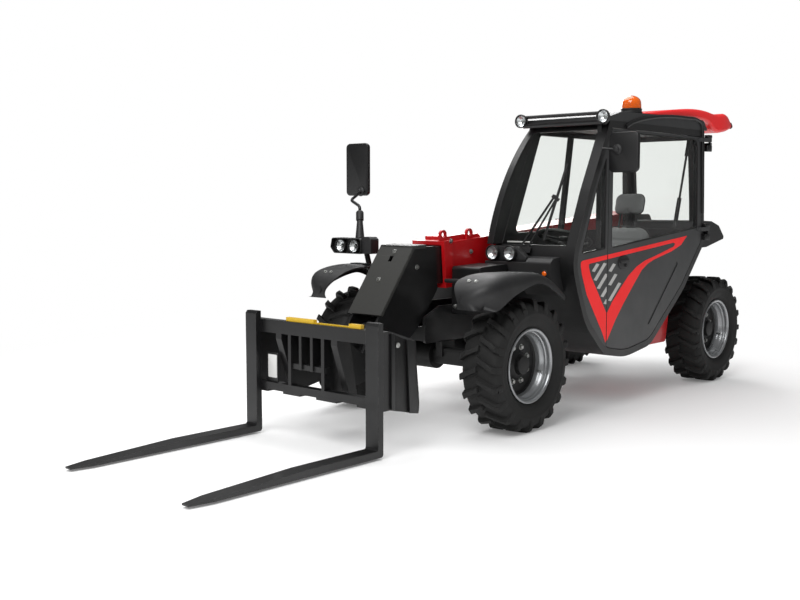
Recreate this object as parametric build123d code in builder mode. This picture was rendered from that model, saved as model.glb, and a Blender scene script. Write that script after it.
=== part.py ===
"""Compact telehandler: a side-by-side cab and telescopic boom on four steered wheels, with a pallet-fork carriage.

Frame: +Z up, the machine faces -Y, its left side (cab and door) is +X. The origin is on the ground, under
the centre of the machine's box. Side profiles are (y, z) or (y, z, corner radius) rows, with y measured from
the front axle and z from the ground.
"""
import os
from math import atan2, cos, degrees, hypot, radians, sin, sqrt, tan

from build123d import *

os.makedirs("parts", exist_ok=True)

# ---------------------------------------------------------------- driving dimensions (mm)
# running gear
wheelbase = 2390
overall_width = 1480       # over the tyres
tail_reach = 520           # rear axle to the counterweight's rear face
tyre_radius = 388
tyre_width = 264
lug_pairs = 20
lug_height = 26
bead_radius = 207
rim_flange_radius = 219
rim_half = 112             # half the rim's width
kingpin_x = 430
kingpin_radius = 15
pin_fit = 0.05             # radial running fit of every pin
seat_gap = 0.3             # between sliding or resting faces of two bodies

# chassis
frame_plate = 20
frame_gap = 12             # boom side to frame plate
belly_z = 340
bridge_rise = 92           # axle centre to the frame's arch above it

# boom
boom_x = -60               # boom's centre plane, right of the machine's centre
boom_pivot = (wheelbase + 10, 1130)
boom_pivot_radius = 35
boom_slope = 4.4           # degrees the stowed boom drops towards the front
nose_overhang = 152.5      # front axle to the inner boom's nose, stowed
nose_projection = 160      # inner boom ahead of the outer one, stowed
outer_boom_depth, outer_boom_width, outer_boom_wall = 260, 230, 10
inner_boom_depth, inner_boom_width, inner_boom_wall = 226, 196, 9
inner_boom_tail = 350      # pivot to the inner boom's tail, stowed
boom_collar = 14

# pins of the linkages, (y, z)
tilt_pin = (-690, 385)
tilt_rod_pin = (-690, 525)
tilt_foot_pin = (-160, 760)
lift_foot_pin = (wheelbase - 490, 420)
lift_rod_pin = (wheelbase - 1490, 790)
tilt_pin_radius = 25

# carriage and tines
carriage_offset = 350      # tilt pin to the carriage's front face
carriage_half = 522        # machine centre to a tine's outer edge
bar_thickness = 50
tine_length = 1220
tine_width = 90
tine_thickness = 38
tine_clearance = 12        # tines to the ground

# cab
cab_right, cab_left = 100, 660
door_gap = 5
door_thickness = 35
cab_wall = 34
cab_band = 45              # dark border round the door and the quarter panel
door_seam = 850
seam_gap = 6
roof_underside = 1838
roof_thickness = 70
glass = 6
hinge_pin_radius = 8
door_hinge = (712, wheelbase - 175)    # x, and y from the front axle
door_hinge_heights = (1128, roof_underside - 75)
screen_bend = (632, roof_underside - 437)    # where the windscreen turns up to the roof

# covers and trim
fender_inner, fender_outer = 455, 735
fender_lift = 154          # top of the tyre to the fender's crest
fender_sheet = 14
fender_edge = 18
hood_hinge = (-225, 981)   # x, z
engine_side = -690
bay_front, bay_rear = 600, wheelbase - 530
mirror_reach = 940
mirror_clearance = 35      # door to the left mirror's inner edge
beacon_radius = 59
beacon_height = 120
tow_pin_radius = 14

# ---------------------------------------------------------------- derived places
carriage_face = tilt_pin[0] - carriage_offset
fork_reach = tine_length - carriage_face
front_axle_y = fork_reach - (fork_reach + wheelbase + tail_reach) / 2
axle_z = tyre_radius
bridge_z = axle_z + bridge_rise
wheel_x = (overall_width - tyre_width) / 2
plate_inner = outer_boom_width / 2 + frame_gap
left_plate = boom_x + plate_inner
right_plate = boom_x - plate_inner - frame_plate
tail_y = wheelbase + tail_reach
door_inner = cab_left + door_gap
door_outer = door_inner + door_thickness
roof_top = roof_underside + roof_thickness
fender_top = 2 * tyre_radius + fender_lift
inner_boom_length = (boom_pivot[0] + nose_overhang) / cos(radians(boom_slope))
outer_boom_length = inner_boom_length - nose_projection
half_depth, half_width = outer_boom_depth / 2, outer_boom_width / 2


# ---------------------------------------------------------------- helpers
def save(piece, label):
    """Label a finished piece and write its STEP file."""
    piece.label = label
    export_step(piece, f"parts/{label}.step")


def profile_face(plane, rows, shift=0.0):
    """A closed face on a plane from (u, v) or (u, v, corner radius) rows."""
    with BuildSketch(plane) as profile:
        with BuildLine():
            Polyline(*[(row[0] + shift, row[1]) for row in rows], close=True)
        make_face()
        for u, v, *radius in rows:
            if radius:
                fillet(profile.vertices().sort_by_distance((u + shift, v, 0))[0], radius[0])
    return profile.sketch


def side_slab(rows, x_low, x_high, mode=Mode.ADD):
    """Extrude a side profile between two x planes."""
    return extrude(profile_face(Plane.YZ.offset(x_low), rows, front_axle_y), amount=x_high - x_low, mode=mode)


def cross_slab(rows, y_low, y_high, mode=Mode.ADD):
    """Extrude an (x, z) profile between two y planes, y measured from the front axle."""
    plane = Plane.XZ.offset(-(front_axle_y + y_low))
    return extrude(profile_face(plane, rows), amount=y_low - y_high, mode=mode)


def plan_slab(rows, z_low, z_high, mode=Mode.ADD):
    """Extrude a plan profile of (x, y) rows between two z planes, y measured from the front axle."""
    plane = Plane.XY.offset(z_low).shift_origin((0, 0, z_low))
    moved = [(row[0], front_axle_y + row[1], *row[2:]) for row in rows]
    return extrude(profile_face(plane, moved), amount=z_high - z_low, mode=mode)


def block(x_low, x_high, y_low, y_high, z_low, z_high, mode=Mode.ADD):
    """A plain block between six planes, y measured from the front axle."""
    centre = ((x_low + x_high) / 2, front_axle_y + (y_low + y_high) / 2, (z_low + z_high) / 2)
    with Locations(centre):
        return Box(x_high - x_low, y_high - y_low, z_high - z_low, mode=mode)


def rod(start, end, radius, mode=Mode.ADD):
    """A round bar between two (x, y, z) points, y measured from the front axle."""
    first = Vector(start[0], start[1] + front_axle_y, start[2])
    last = Vector(end[0], end[1] + front_axle_y, end[2])
    with BuildSketch(Plane(origin=first, z_dir=last - first)) as circle:
        Circle(radius)
    return extrude(circle.sketch, amount=(last - first).length, mode=mode)


def cross_cylinder(pin, radius, x_low, x_high, mode=Mode.ADD):
    """A cylinder along X through a side-profile point."""
    return rod((x_low, *pin), (x_high, *pin), radius, mode)


def upright(x, y, radius, z_low, z_high, mode=Mode.ADD):
    """A vertical cylinder, y measured from the front axle."""
    return rod((x, y, z_low), (x, y, z_high), radius, mode)


def along(start, end, radius, t_low, t_high, mode=Mode.ADD, x=boom_x):
    """A cylinder on the line between two side-profile points, from t_low to t_high along it."""
    span = hypot(end[0] - start[0], end[1] - start[1])
    low, high = [(x, *(a + (b - a) * t / span for a, b in zip(start, end))) for t in (t_low, t_high)]
    return rod(low, high, radius, mode)


# ---------------------------------------------------------------- boom frame of reference
slope_cos, slope_sin = cos(radians(boom_slope)), sin(radians(boom_slope))
boom_origin = Vector(boom_x, front_axle_y + boom_pivot[0], boom_pivot[1])
# (s, t): s forward along the boom from its pivot, t square to it and up
boom_side = Plane(origin=boom_origin, x_dir=(0, -slope_cos, -slope_sin), z_dir=(-1, 0, 0))


def on_boom(pin):
    """A side-profile point in the boom's own (s, t) frame."""
    back, up = boom_pivot[0] - pin[0], pin[1] - boom_pivot[1]
    return back * slope_cos - up * slope_sin, back * slope_sin + up * slope_cos


def boom_slab(rows, x_low, x_high, mode=Mode.ADD):
    """Extrude an (s, t) profile between two x planes measured from the boom's centre plane, left positive."""
    return extrude(profile_face(boom_side.offset(-x_high), rows), amount=x_high - x_low, mode=mode)


def boom_box(s_low, s_high, t_half, x_half, mode=Mode.ADD):
    """A block along the boom's centre line."""
    return boom_slab([(s_low, -t_half), (s_high, -t_half), (s_high, t_half), (s_low, t_half)], -x_half, x_half, mode)


# ================================================================ chassis
frame_profile = [
    (-200, bridge_z, 20), (200, bridge_z), (330, belly_z, 60), (wheelbase - 350, belly_z, 60),
    (wheelbase - 210, bridge_z), (wheelbase + 230, bridge_z), (wheelbase + 330, bridge_z + 80),
    (wheelbase + 330, 900, 60), (boom_pivot[0] + 110, boom_pivot[1] + 105, 60),
    (boom_pivot[0] - 110, boom_pivot[1] + 105, 60), (boom_pivot[0] - 260, 820, 120),
    (lift_foot_pin[0], 700, 120), (-60, 700), (-200, 640, 20),
]
with BuildPart() as frame:
    for x_low in (left_plate, right_plate):
        side_slab(frame_profile, x_low, x_low + frame_plate)
        # lightening window between the axles
        side_slab([(1020, 420, 50), (1560, 420, 50), (1500, 620, 50), (1080, 620, 50)], x_low - 1,
                  x_low + frame_plate + 1, Mode.SUBTRACT)
    inner_low, inner_high = left_plate - 2 * plate_inner, left_plate
    # name, y_low, y_high, z_low, z_high
    cross_members = [
        ("front", -120, 120, bridge_z, bridge_z + 70),
        ("nose", -200, -180, bridge_z + 20, bridge_z + 100),
        ("middle", 560, 660, belly_z, belly_z + 70),
        ("cylinder foot", lift_foot_pin[0] - 80, lift_foot_pin[0] + 80, belly_z, belly_z + 32),
        ("rear axle bridge", wheelbase - 190, wheelbase + 210, bridge_z, bridge_z + 60),
        ("tail", wheelbase + 250, wheelbase + 330, bridge_z + 80, 880),
    ]
    for name, y_low, y_high, z_low, z_high in cross_members:
        block(inner_low, inner_high, y_low, y_high, z_low, z_high)
    foot_y, foot_z = lift_foot_pin
    for side in (-1, 1):
        ear_low = boom_x + side * 45 - 10
        side_slab([(foot_y - 65, belly_z + 32), (foot_y + 65, belly_z + 32), (foot_y + 42, foot_z + 36, 20),
                   (foot_y - 42, foot_z + 36, 20)], ear_low, ear_low + 20)
        # pivot bosses outside the plates
        plate = left_plate + frame_plate if side > 0 else right_plate
        cross_cylinder(boom_pivot, 62, *sorted((plate, plate + side * 12)))
    cross_cylinder(lift_foot_pin, 20, boom_x - 55, boom_x + 55)
    cross_cylinder(boom_pivot, boom_pivot_radius, inner_low, inner_high)
    # cab mounts, between the left plate and the cab's wall
    for y_low in (700, 1600):
        block(left_plate + frame_plate, cab_right, y_low, y_low + 100, 420, 520)
save(frame.part, "frame")

jaw_y = tail_y - 40
with BuildPart() as counterweight:
    weight_front = wheelbase + 330
    side_slab([(weight_front, 500), (tail_y - 40, 500, 20), (tail_y, 560, 20), (tail_y, 900, 30),
               (tail_y - 60, 960, 30), (weight_front, 960)], -230, 230)
    # towing jaw: a pocket open below, two lipped plates and an upright pin hole, with a slot for the pin's handle
    block(-90, 90, jaw_y - 70, tail_y + 5, 490, 820, mode=Mode.SUBTRACT)
    block(-35, 35, jaw_y - 35, tail_y + 5, 490, 970, mode=Mode.SUBTRACT)
    for z_low in (620, 700):
        plan_slab([(-90, jaw_y - 71), (90, jaw_y - 71), (50, jaw_y + 35, 25), (-50, jaw_y + 35, 25)], z_low, z_low + 20)
    upright(0, jaw_y, tow_pin_radius, 610, 730, mode=Mode.SUBTRACT)
save(counterweight.part, "counterweight")

fork_back = kingpin_x - 60
ear_radius = 31
ear_inner, ear_outer = 62, 84
for name, axle_y in (("front", 0), ("rear", wheelbase)):
    with BuildPart() as axle:
        side_slab([(axle_y - 45, axle_z - 50, 20), (axle_y + 45, axle_z - 50, 20), (axle_y + 45, axle_z + 50, 20),
                   (axle_y - 45, axle_z + 50, 20)], -fork_back, fork_back)
        cross_cylinder((axle_y, axle_z), 86, boom_x - 80, boom_x + 80)
        for x_low in (left_plate, right_plate):
            block(x_low - 15, x_low + frame_plate + 15, axle_y - 60, axle_y + 60, axle_z, bridge_z)
        for side in (-1, 1):
            x_back = sorted((side * (fork_back - 26), side * fork_back))
            block(*x_back, axle_y - 50, axle_y + 50, axle_z - ear_outer, axle_z + ear_outer)
            for z_low in (axle_z + ear_inner, axle_z - ear_outer):
                # an ear, tapering to a round end that the steered flange clears
                plan_slab([(side * fork_back, axle_y - 42), (side * kingpin_x, axle_y - ear_radius),
                           (side * kingpin_x, axle_y + ear_radius), (side * fork_back, axle_y + 42)],
                          z_low, z_low + ear_outer - ear_inner)
                upright(side * kingpin_x, axle_y, ear_radius, z_low, z_low + ear_outer - ear_inner)
                upright(side * kingpin_x, axle_y, kingpin_radius + pin_fit, z_low, z_low + ear_outer - ear_inner,
                        mode=Mode.SUBTRACT)
    save(axle.part, f"{name}_axle")

with BuildPart() as engine_block:
    block(engine_side + 90, right_plate, bay_front + 350, bay_rear - 140, 400, 900)
save(engine_block.part, "engine_block")

# ---------------------------------------------------------------- wheels and knuckles
hub_inner_face = wheel_x - 60
knuckle_flange = hub_inner_face - 8
hub_bore = 30
wheel_places = [
    # name, side, axle y
    ("front_left", 1, 0),
    ("front_right", -1, 0),
    ("rear_left", 1, wheelbase),
    ("rear_right", -1, wheelbase),
]
for name, side, axle_y in wheel_places:
    with BuildPart() as knuckle:
        housing = sorted((side * (kingpin_x - 38), side * (kingpin_x + 38)))
        side_slab([(axle_y - 38, axle_z - 56, 12), (axle_y + 38, axle_z - 56, 12), (axle_y + 38, axle_z + 56, 12),
                   (axle_y - 38, axle_z + 56, 12)], *housing)
        for z_low in (axle_z - ear_outer, axle_z + 56):
            upright(side * kingpin_x, axle_y, kingpin_radius, z_low, z_low + ear_outer - 56)
        flange = sorted((side * (kingpin_x + 38), side * knuckle_flange))
        cross_cylinder((axle_y, axle_z), 80, *flange)
        stub = sorted((side * knuckle_flange, side * (wheel_x + 20)))
        cross_cylinder((axle_y, axle_z), hub_bore, *stub)
    save(knuckle.part, f"knuckle_{name}")

# (x, r) from the wheel's centre plane and axis, outboard positive
rim_profile = [
    (-60, hub_bore + pin_fit), (62, hub_bore + pin_fit), (62, 70), (24, 84), (24, 148), (52, 186), (rim_half, 203),
    (rim_half, rim_flange_radius), (rim_half - 12, rim_flange_radius), (rim_half - 12, bead_radius),
    (12 - rim_half, bead_radius), (12 - rim_half, rim_flange_radius), (-rim_half, rim_flange_radius),
    (-rim_half, 196), (0, 186), (6, 148), (-60, 84),
]
with BuildPart() as rim_master:
    with BuildSketch(Plane(origin=(0, 0, 0), x_dir=(1, 0, 0), z_dir=(0, -1, 0))):
        with BuildLine():
            Polyline(*rim_profile, close=True)
        make_face()
    revolve(axis=Axis.X)

half_tyre = tyre_width / 2
crown = tyre_radius - lug_height
widest = 300               # radius at which the tyre is widest
lug_edge = 54              # a lug's leading edge, from the line through its middle
lug_top = sqrt(tyre_radius**2 - lug_edge**2)
lug_root = crown - 40
lug_draft = 9
with BuildPart() as lug:
    # one drafted lug on the left half of the tread, slanting back from the centre line
    with BuildSketch(Plane.XY.offset(lug_root)):
        with BuildLine():
            Polyline((2, -36), (2, -6), (half_tyre - 20, lug_edge), (half_tyre - 20, 14), close=True)
        make_face()
        offset(amount=(lug_top - lug_root) * tan(radians(lug_draft)), kind=Kind.INTERSECTION)
    extrude(amount=lug_top - lug_root, taper=lug_draft)
# (x, r) of the carcass's flat-sided rings
carcass_rings = [
    (-half_tyre, widest), (6 - half_tyre, crown - 16), (28 - half_tyre, crown),
    (half_tyre - 28, crown), (half_tyre - 6, crown - 16), (half_tyre, widest),
]
with BuildPart() as left_dish:
    for x, radius in ((half_tyre, widest), (rim_half - 12, bead_radius + 18)):
        with BuildSketch(Plane.YZ.offset(x)):
            RegularPolygon(radius, lug_pairs)
    loft(ruled=True)
with BuildPart() as tyre_master:
    for x, radius in carcass_rings:
        with BuildSketch(Plane.YZ.offset(x)):
            RegularPolygon(radius, lug_pairs)
    loft(ruled=True)
    add(left_dish.part, mode=Mode.SUBTRACT)
    add(left_dish.part.mirror(Plane.YZ), mode=Mode.SUBTRACT)
    with BuildSketch(Plane.YZ.offset(-tyre_width)):
        Circle(bead_radius)
    extrude(amount=2 * tyre_width, mode=Mode.SUBTRACT)
    # the last lug's edge stands straight below the axle
    foot_turn = 180 + degrees(atan2(lug_edge, lug_top))
    pitch = 360 / lug_pairs
    add([half.rotate(Axis.X, foot_turn + pitch * (index + phase))
         for half, phase in ((lug.part, 0.0), (lug.part.mirror(Plane.YZ), 0.5)) for index in range(lug_pairs)])

for name, side, axle_y in wheel_places:
    here = Location((side * wheel_x, front_axle_y + axle_y, axle_z))
    for master, piece in ((rim_master, "rim"), (tyre_master, "tyre")):
        with BuildPart() as wheel_piece:
            handed = master.part if side > 0 else master.part.mirror(Plane.YZ)
            add(handed.moved(here))
        save(wheel_piece.part, f"{piece}_{name}")

# ================================================================ cab
cab_rear = wheelbase - 197
cab_outline = [
    (442, 968, 250), (503, 795, 600), (600, 572, 400), (831, 360, 250), (1095, 318, 600), (1426, 364, 250),
    (cab_rear - 308, 709, 600), (cab_rear, 1032, 90), (cab_rear - 18, roof_underside - 495),
    (cab_rear - 68, roof_underside), (858, roof_underside), (*screen_bend, 300),
]


def cab_section(x_low, x_high, inset=0.0, mode=Mode.ADD):
    """The cab's side outline, inset on request, between two x planes."""
    outline = profile_face(Plane.XY, cab_outline, front_axle_y)
    with BuildSketch(Plane.YZ.offset(x_low)) as section:
        add(outline)
        if inset:
            offset(amount=-inset, kind=Kind.INTERSECTION)
    return extrude(section.sketch, amount=x_high - x_low, mode=mode)


window_top = roof_underside - 68
rear_window = [(cab_rear - 100, 1130), (cab_rear + 40, 1130), (cab_rear + 20, window_top), (cab_rear - 120, window_top)]
side_window_slant = 110
with BuildPart() as cab_frame:
    cab_section(cab_right, door_outer)
    cab_section(cab_right + cab_wall, cab_left, inset=cab_wall, mode=Mode.SUBTRACT)
    cab_section(cab_left - 1, door_outer + 1, inset=cab_band, mode=Mode.SUBTRACT)
    # flat floor
    side_slab([(800, 400), (900, 366), (1095, 338), (1360, 374), (1440, 400)], cab_right + 10, cab_left)
    # windscreen
    side_slab([(360, 1062), (720, 1062), (920, window_top + 10), (640, window_top + 10)], cab_right + 48,
              cab_left - 30, Mode.SUBTRACT)
    # right side windows, with a slanted divider between them
    side_slab([(640, 1130, 30), (1190, 1130), (1190 + side_window_slant, window_top), (925, window_top, 30)],
              cab_right - 5, cab_right + cab_wall + 5, Mode.SUBTRACT)
    side_slab([(1220, 1130), (cab_rear - 120, 1130, 30), (cab_rear - 150, window_top, 30),
               (1220 + side_window_slant, window_top)], cab_right - 5, cab_right + cab_wall + 5, Mode.SUBTRACT)
    side_slab(rear_window, cab_right + 60, cab_left - 60, Mode.SUBTRACT)
    # wide curved right-hand pillar, ahead of the windscreen's edge
    with BuildSketch(Plane.YZ.offset(cab_right)) as pillar:
        with BuildLine():
            ThreePointArc(*[(front_axle_y + y, z) for y, z in (
                (387, 1064), (521, roof_underside - 433), (836, roof_underside - 40))])
            Polyline(*[(front_axle_y + y, z) for y, z in (
                (836, roof_underside - 40), (880, roof_underside - 40), (660, roof_underside - 418), (510, 1064),
                (387, 1064))])
        make_face()
    extrude(pillar.sketch, amount=46)
    # post behind the door's front edge
    side_slab([(door_seam - 30, 380), (door_seam + 20, 380), (door_seam + 20, roof_underside - 25),
               (door_seam - 30, roof_underside - 30)], cab_left - 30, cab_left)
    hinge_x, hinge_y = door_hinge
    for z in door_hinge_heights:
        block(cab_left, hinge_x + 12, hinge_y - 15, hinge_y + 12, z - 30, z - 12)
        block(cab_left - 60, cab_left, cab_rear - 90, hinge_y + 12, z - 30, z - 12)
        upright(*door_hinge, hinge_pin_radius, z - 30, z + 20)
save(cab_frame.part, "cab_frame")

with BuildPart() as windscreen:
    cab_section(cab_right + 48.3, cab_left - 30.3, inset=8)
    cab_section(cab_right + 40, cab_left, inset=8 + glass, mode=Mode.SUBTRACT)
    side_slab([(200, 1062.3), (740, 1062.3), (940, window_top + 9.7), (440, window_top + 9.7)], cab_right, cab_left,
              Mode.INTERSECT)
save(windscreen.part, "windscreen")

with BuildPart() as side_window:
    side_slab([(632, 1122, 30), (cab_rear - 112, 1122, 30), (cab_rear - 142, window_top + 8, 30),
               (917, window_top + 8, 30)], cab_right + cab_wall + seat_gap, cab_right + cab_wall + seat_gap + glass)
save(side_window.part, "side_window")

with BuildPart() as rear_screen:
    cab_section(cab_right + 60.3, cab_left - 60.3, inset=10)
    cab_section(cab_right + 40, cab_left, inset=10 + glass, mode=Mode.SUBTRACT)
    block(cab_right, cab_left, cab_rear - 140, cab_rear + 50, 1130.3, window_top - 0.3, mode=Mode.INTERSECT)
save(rear_screen.part, "rear_screen")

quarter_window = [(548, 1012, 15), (door_seam - 28, 1036, 10), (door_seam - 28, roof_underside - 228, 5),
                  (706, roof_underside - 437, 200)]
with BuildPart() as quarter_panel:
    cab_section(cab_left + seat_gap, door_outer, inset=cab_band + seat_gap)
    block(cab_left - 1, door_outer + 1, door_seam, wheelbase, 200, 2 * roof_top, mode=Mode.SUBTRACT)
    side_slab(quarter_window, cab_left - 1, door_outer + 1, Mode.SUBTRACT)
save(quarter_panel.part, "quarter_panel")

with BuildPart() as quarter_glass:
    side_slab(quarter_window, door_inner + 14, door_inner + 14 + glass)
save(quarter_glass.part, "quarter_glass")

door_window = [(door_seam + 50, 1038, 20), (cab_rear - 115, 1146, 20), (cab_rear - 137, window_top, 60),
               (door_seam + 50, window_top, 20)]
with BuildPart() as door:
    cab_section(door_inner, door_outer, inset=cab_band + door_gap)
    block(cab_left, door_outer + 1, 0, door_seam + seam_gap, 200, 2 * roof_top, mode=Mode.SUBTRACT)
    side_slab(door_window, cab_left, door_outer + 1, Mode.SUBTRACT)
    # pressed groove on the lower rear of the skin
    side_slab([(cab_rear - 813, 520, 12), (cab_rear - 793, 505, 12), (cab_rear - 393, 900, 12),
               (cab_rear - 413, 915, 12)], door_outer - 5, door_outer + 1, Mode.SUBTRACT)
    for z in door_hinge_heights:
        plan_slab([(door_outer, cab_rear - 120), (hinge_x + 14, cab_rear - 100, 10), (hinge_x + 14, hinge_y + 14, 10),
                   (hinge_x - 11, hinge_y + 14, 8), (hinge_x - 11, cab_rear - 60), (door_outer, cab_rear - 70)],
                  z - 7, z + 20)
        upright(*door_hinge, hinge_pin_radius + pin_fit, z - 10, z + 25, mode=Mode.SUBTRACT)
save(door.part, "door")

with BuildPart() as door_glass:
    side_slab(door_window, door_inner + 14, door_inner + 14 + glass)
save(door_glass.part, "door_glass")

with BuildPart() as door_handle:
    side_slab([(985, 905, 25), (1105, 905, 25), (1105, 965, 25), (985, 965, 25)], door_outer, door_outer + 16)
save(door_handle.part, "door_handle")

with BuildPart() as roof:
    side_slab([(800, roof_underside - 32, 8), (785, roof_underside + 7, 25), (1000, roof_top - 8, 300),
               (cab_rear - 693, roof_top), (cab_rear - 53, roof_top, 60), (cab_rear - 3, roof_underside + 12, 10),
               (cab_rear - 3, roof_underside), (858, roof_underside)], cab_right - 20, door_outer)
    # lugs behind the lamp bar
    for x in (170, 620):
        block(x, x + 40, 785, 830, roof_underside - 6, roof_underside + 12)
    # beacon's foot
    upright(600, 1290, beacon_radius + 6, roof_top - 20, roof_top + 30)
save(roof.part, "roof")

with BuildPart() as roof_tail:
    side_slab([(cab_rear - 703, roof_top), (cab_rear - 633, roof_top + 40, 60), (cab_rear - 73, roof_top + 93, 300),
               (cab_rear + 447, roof_top + 89, 60), (cab_rear + 657, roof_top + 37, 10),
               (cab_rear + 637, roof_top + 5, 10), (cab_rear + 287, roof_underside + 12, 80),
               (cab_rear - 3, roof_underside + 12), (cab_rear - 3, roof_top)], cab_right + 40, cab_left - 20)
    plan_slab([(cab_right + 90, cab_rear - 793), (cab_left - 70, cab_rear - 793),
               (cab_left - 20, cab_rear - 493, 100), (cab_left - 20, cab_rear + 107, 200),
               (cab_left - 110, cab_rear + 707), (cab_right + 130, cab_rear + 707),
               (cab_right + 40, cab_rear + 107, 200), (cab_right + 40, cab_rear - 493, 100)],
              roof_underside, 2 * roof_top, mode=Mode.INTERSECT)
save(roof_tail.part, "roof_tail")

with BuildPart() as tail_lamp:
    # its front face lies on the tail's sloping end
    side_slab([(cab_rear + 655.125, roof_top + 34), (cab_rear + 692, roof_top + 26, 6),
               (cab_rear + 672, roof_top - 2, 6), (cab_rear + 637.625, roof_top + 6)], cab_right + 150,
              cab_left - 130)
save(tail_lamp.part, "tail_lamp")

with BuildPart() as beacon:
    with BuildSketch(Plane.XZ):
        with BuildLine():
            Polyline((0, 30), (beacon_radius, 30), (beacon_radius, beacon_height - 46),
                     (beacon_radius - 7, beacon_height - 22), (beacon_radius - 25, beacon_height - 5),
                     (0, beacon_height), close=True)
        make_face()
    revolve(axis=Axis.Z)
save(beacon.part.moved(Location((600, front_axle_y + 1290, roof_top))), "beacon")

seat_low, seat_high = 185, 615
with BuildPart() as seat:
    side_slab([(1130, 600, 30), (1130, 680, 40), (1440, 690), (1470, 700), (1590, 1190, 25), (1650, 1180, 25),
               (1560, 620, 40)], seat_low, seat_high)
    # headrest on two stems
    side_slab([(1600, 1240, 25), (1665, 1235, 25), (1700, 1395, 25), (1640, 1400, 25)], seat_low + 90, seat_high - 90)
    for x in (seat_low + 150, seat_high - 150):
        rod((x, 1618, 1160), (x, 1640, 1260), 8)
    block(seat_low + 60, seat_high - 60, 1180, 1400, 400, 610)
save(seat.part, "seat")

column_x = (seat_low + seat_high) / 2
column_foot, column_head = (column_x, 660, 625), (column_x, 815, 1075)
with BuildPart() as steering:
    # dash console with the column, and a three-spoke wheel square to it
    cab_section(column_x - 110, column_x + 110, inset=cab_wall + seat_gap)
    side_slab([(300, 401), (860, 401, 20), (790, 760, 60), (690, 900, 30), (300, 900)], column_x - 111, column_x + 111,
              Mode.INTERSECT)
    rod(column_foot, column_head, 26)
    wheel_plane = Plane(origin=(column_x, front_axle_y + column_head[1], column_head[2]), x_dir=(1, 0, 0),
                        z_dir=(0, column_head[1] - column_foot[1], column_head[2] - column_foot[2]))
    with BuildSketch(wheel_plane):
        Circle(180)
        Circle(156, mode=Mode.SUBTRACT)
        for angle in (30, 150, 270):
            with Locations(Location((0, 0), angle)):
                with Locations((85, 0)):
                    Rectangle(150, 26)
        Circle(40)
    extrude(amount=22)
save(steering.part, "steering")

# ================================================================ boom
lift_s, lift_t = on_boom(lift_rod_pin)
pad_gap = seat_gap
with BuildPart() as boom_outer:
    boom_slab([(-80, -80, 40), (200, -half_depth, 60), (outer_boom_length, -half_depth),
               (outer_boom_length, half_depth), (0, half_depth, 60), (-80, 80, 40)], -half_width, half_width)
    # front collar and the raised cover behind it
    boom_box(outer_boom_length - 80, outer_boom_length, half_depth + boom_collar, half_width + boom_collar)
    boom_slab([(outer_boom_length - 430, half_depth), (outer_boom_length - 80, half_depth),
               (outer_boom_length - 80, half_depth + 34, 8), (outer_boom_length - 250, half_depth + 34, 8),
               (outer_boom_length - 280, half_depth + 22, 8), (outer_boom_length - 400, half_depth + 22, 8)],
              -half_width + 24, half_width - 34)
    for s_eye in (outer_boom_length - 32, outer_boom_length - 290):
        eye_base = half_depth + (boom_collar if s_eye > outer_boom_length - 80 else 0)
        with BuildSketch(boom_side.offset(14 - half_width)) as eye:
            with Locations((s_eye, eye_base + 34)):
                Circle(32)
            with Locations((s_eye, eye_base + 12)):
                Rectangle(64, 48)
            with Locations((s_eye, eye_base + 36)):
                Circle(17, mode=Mode.SUBTRACT)
        extrude(eye.sketch, amount=16)
    boom_box(230, outer_boom_length + 1, half_depth - outer_boom_wall, half_width - outer_boom_wall, Mode.SUBTRACT)
    # wear pads inside the mouth, round the inner boom
    boom_box(outer_boom_length - 130, outer_boom_length - 10, half_depth - outer_boom_wall,
             half_width - outer_boom_wall)
    boom_box(outer_boom_length - 131, outer_boom_length + 1, inner_boom_depth / 2 + pad_gap,
             inner_boom_width / 2 + pad_gap, Mode.SUBTRACT)
    cross_cylinder(boom_pivot, 70, boom_x - half_width - 8, boom_x + half_width + 8)
    cross_cylinder(boom_pivot, boom_pivot_radius + pin_fit, boom_x - plate_inner, boom_x + plate_inner,
                   mode=Mode.SUBTRACT)
    for side in (-1, 1):
        boom_slab([(lift_s - 85, -half_depth), (lift_s - 40, lift_t - 32, 25), (lift_s + 40, lift_t - 32, 25),
                   (lift_s + 85, -half_depth)], side * 45 - 10, side * 45 + 10)
        cross_cylinder(lift_rod_pin, 26, *sorted((boom_x + side * 55, boom_x + side * 66)))
save(boom_outer.part, "boom_outer")

with BuildPart() as boom_inner:
    half_inner, half_inner_width = inner_boom_depth / 2, inner_boom_width / 2
    boom_box(inner_boom_tail, inner_boom_length, half_inner, half_inner_width)
    # wear pads at the tail, inside the outer boom
    boom_box(inner_boom_tail + 20, inner_boom_tail + 120, half_depth - outer_boom_wall - pad_gap,
             half_width - outer_boom_wall - pad_gap)
    boom_box(inner_boom_tail - 10, inner_boom_length + 10, half_inner - inner_boom_wall,
             half_inner_width - inner_boom_wall, Mode.SUBTRACT)
save(boom_inner.part, "boom_inner")

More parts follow.
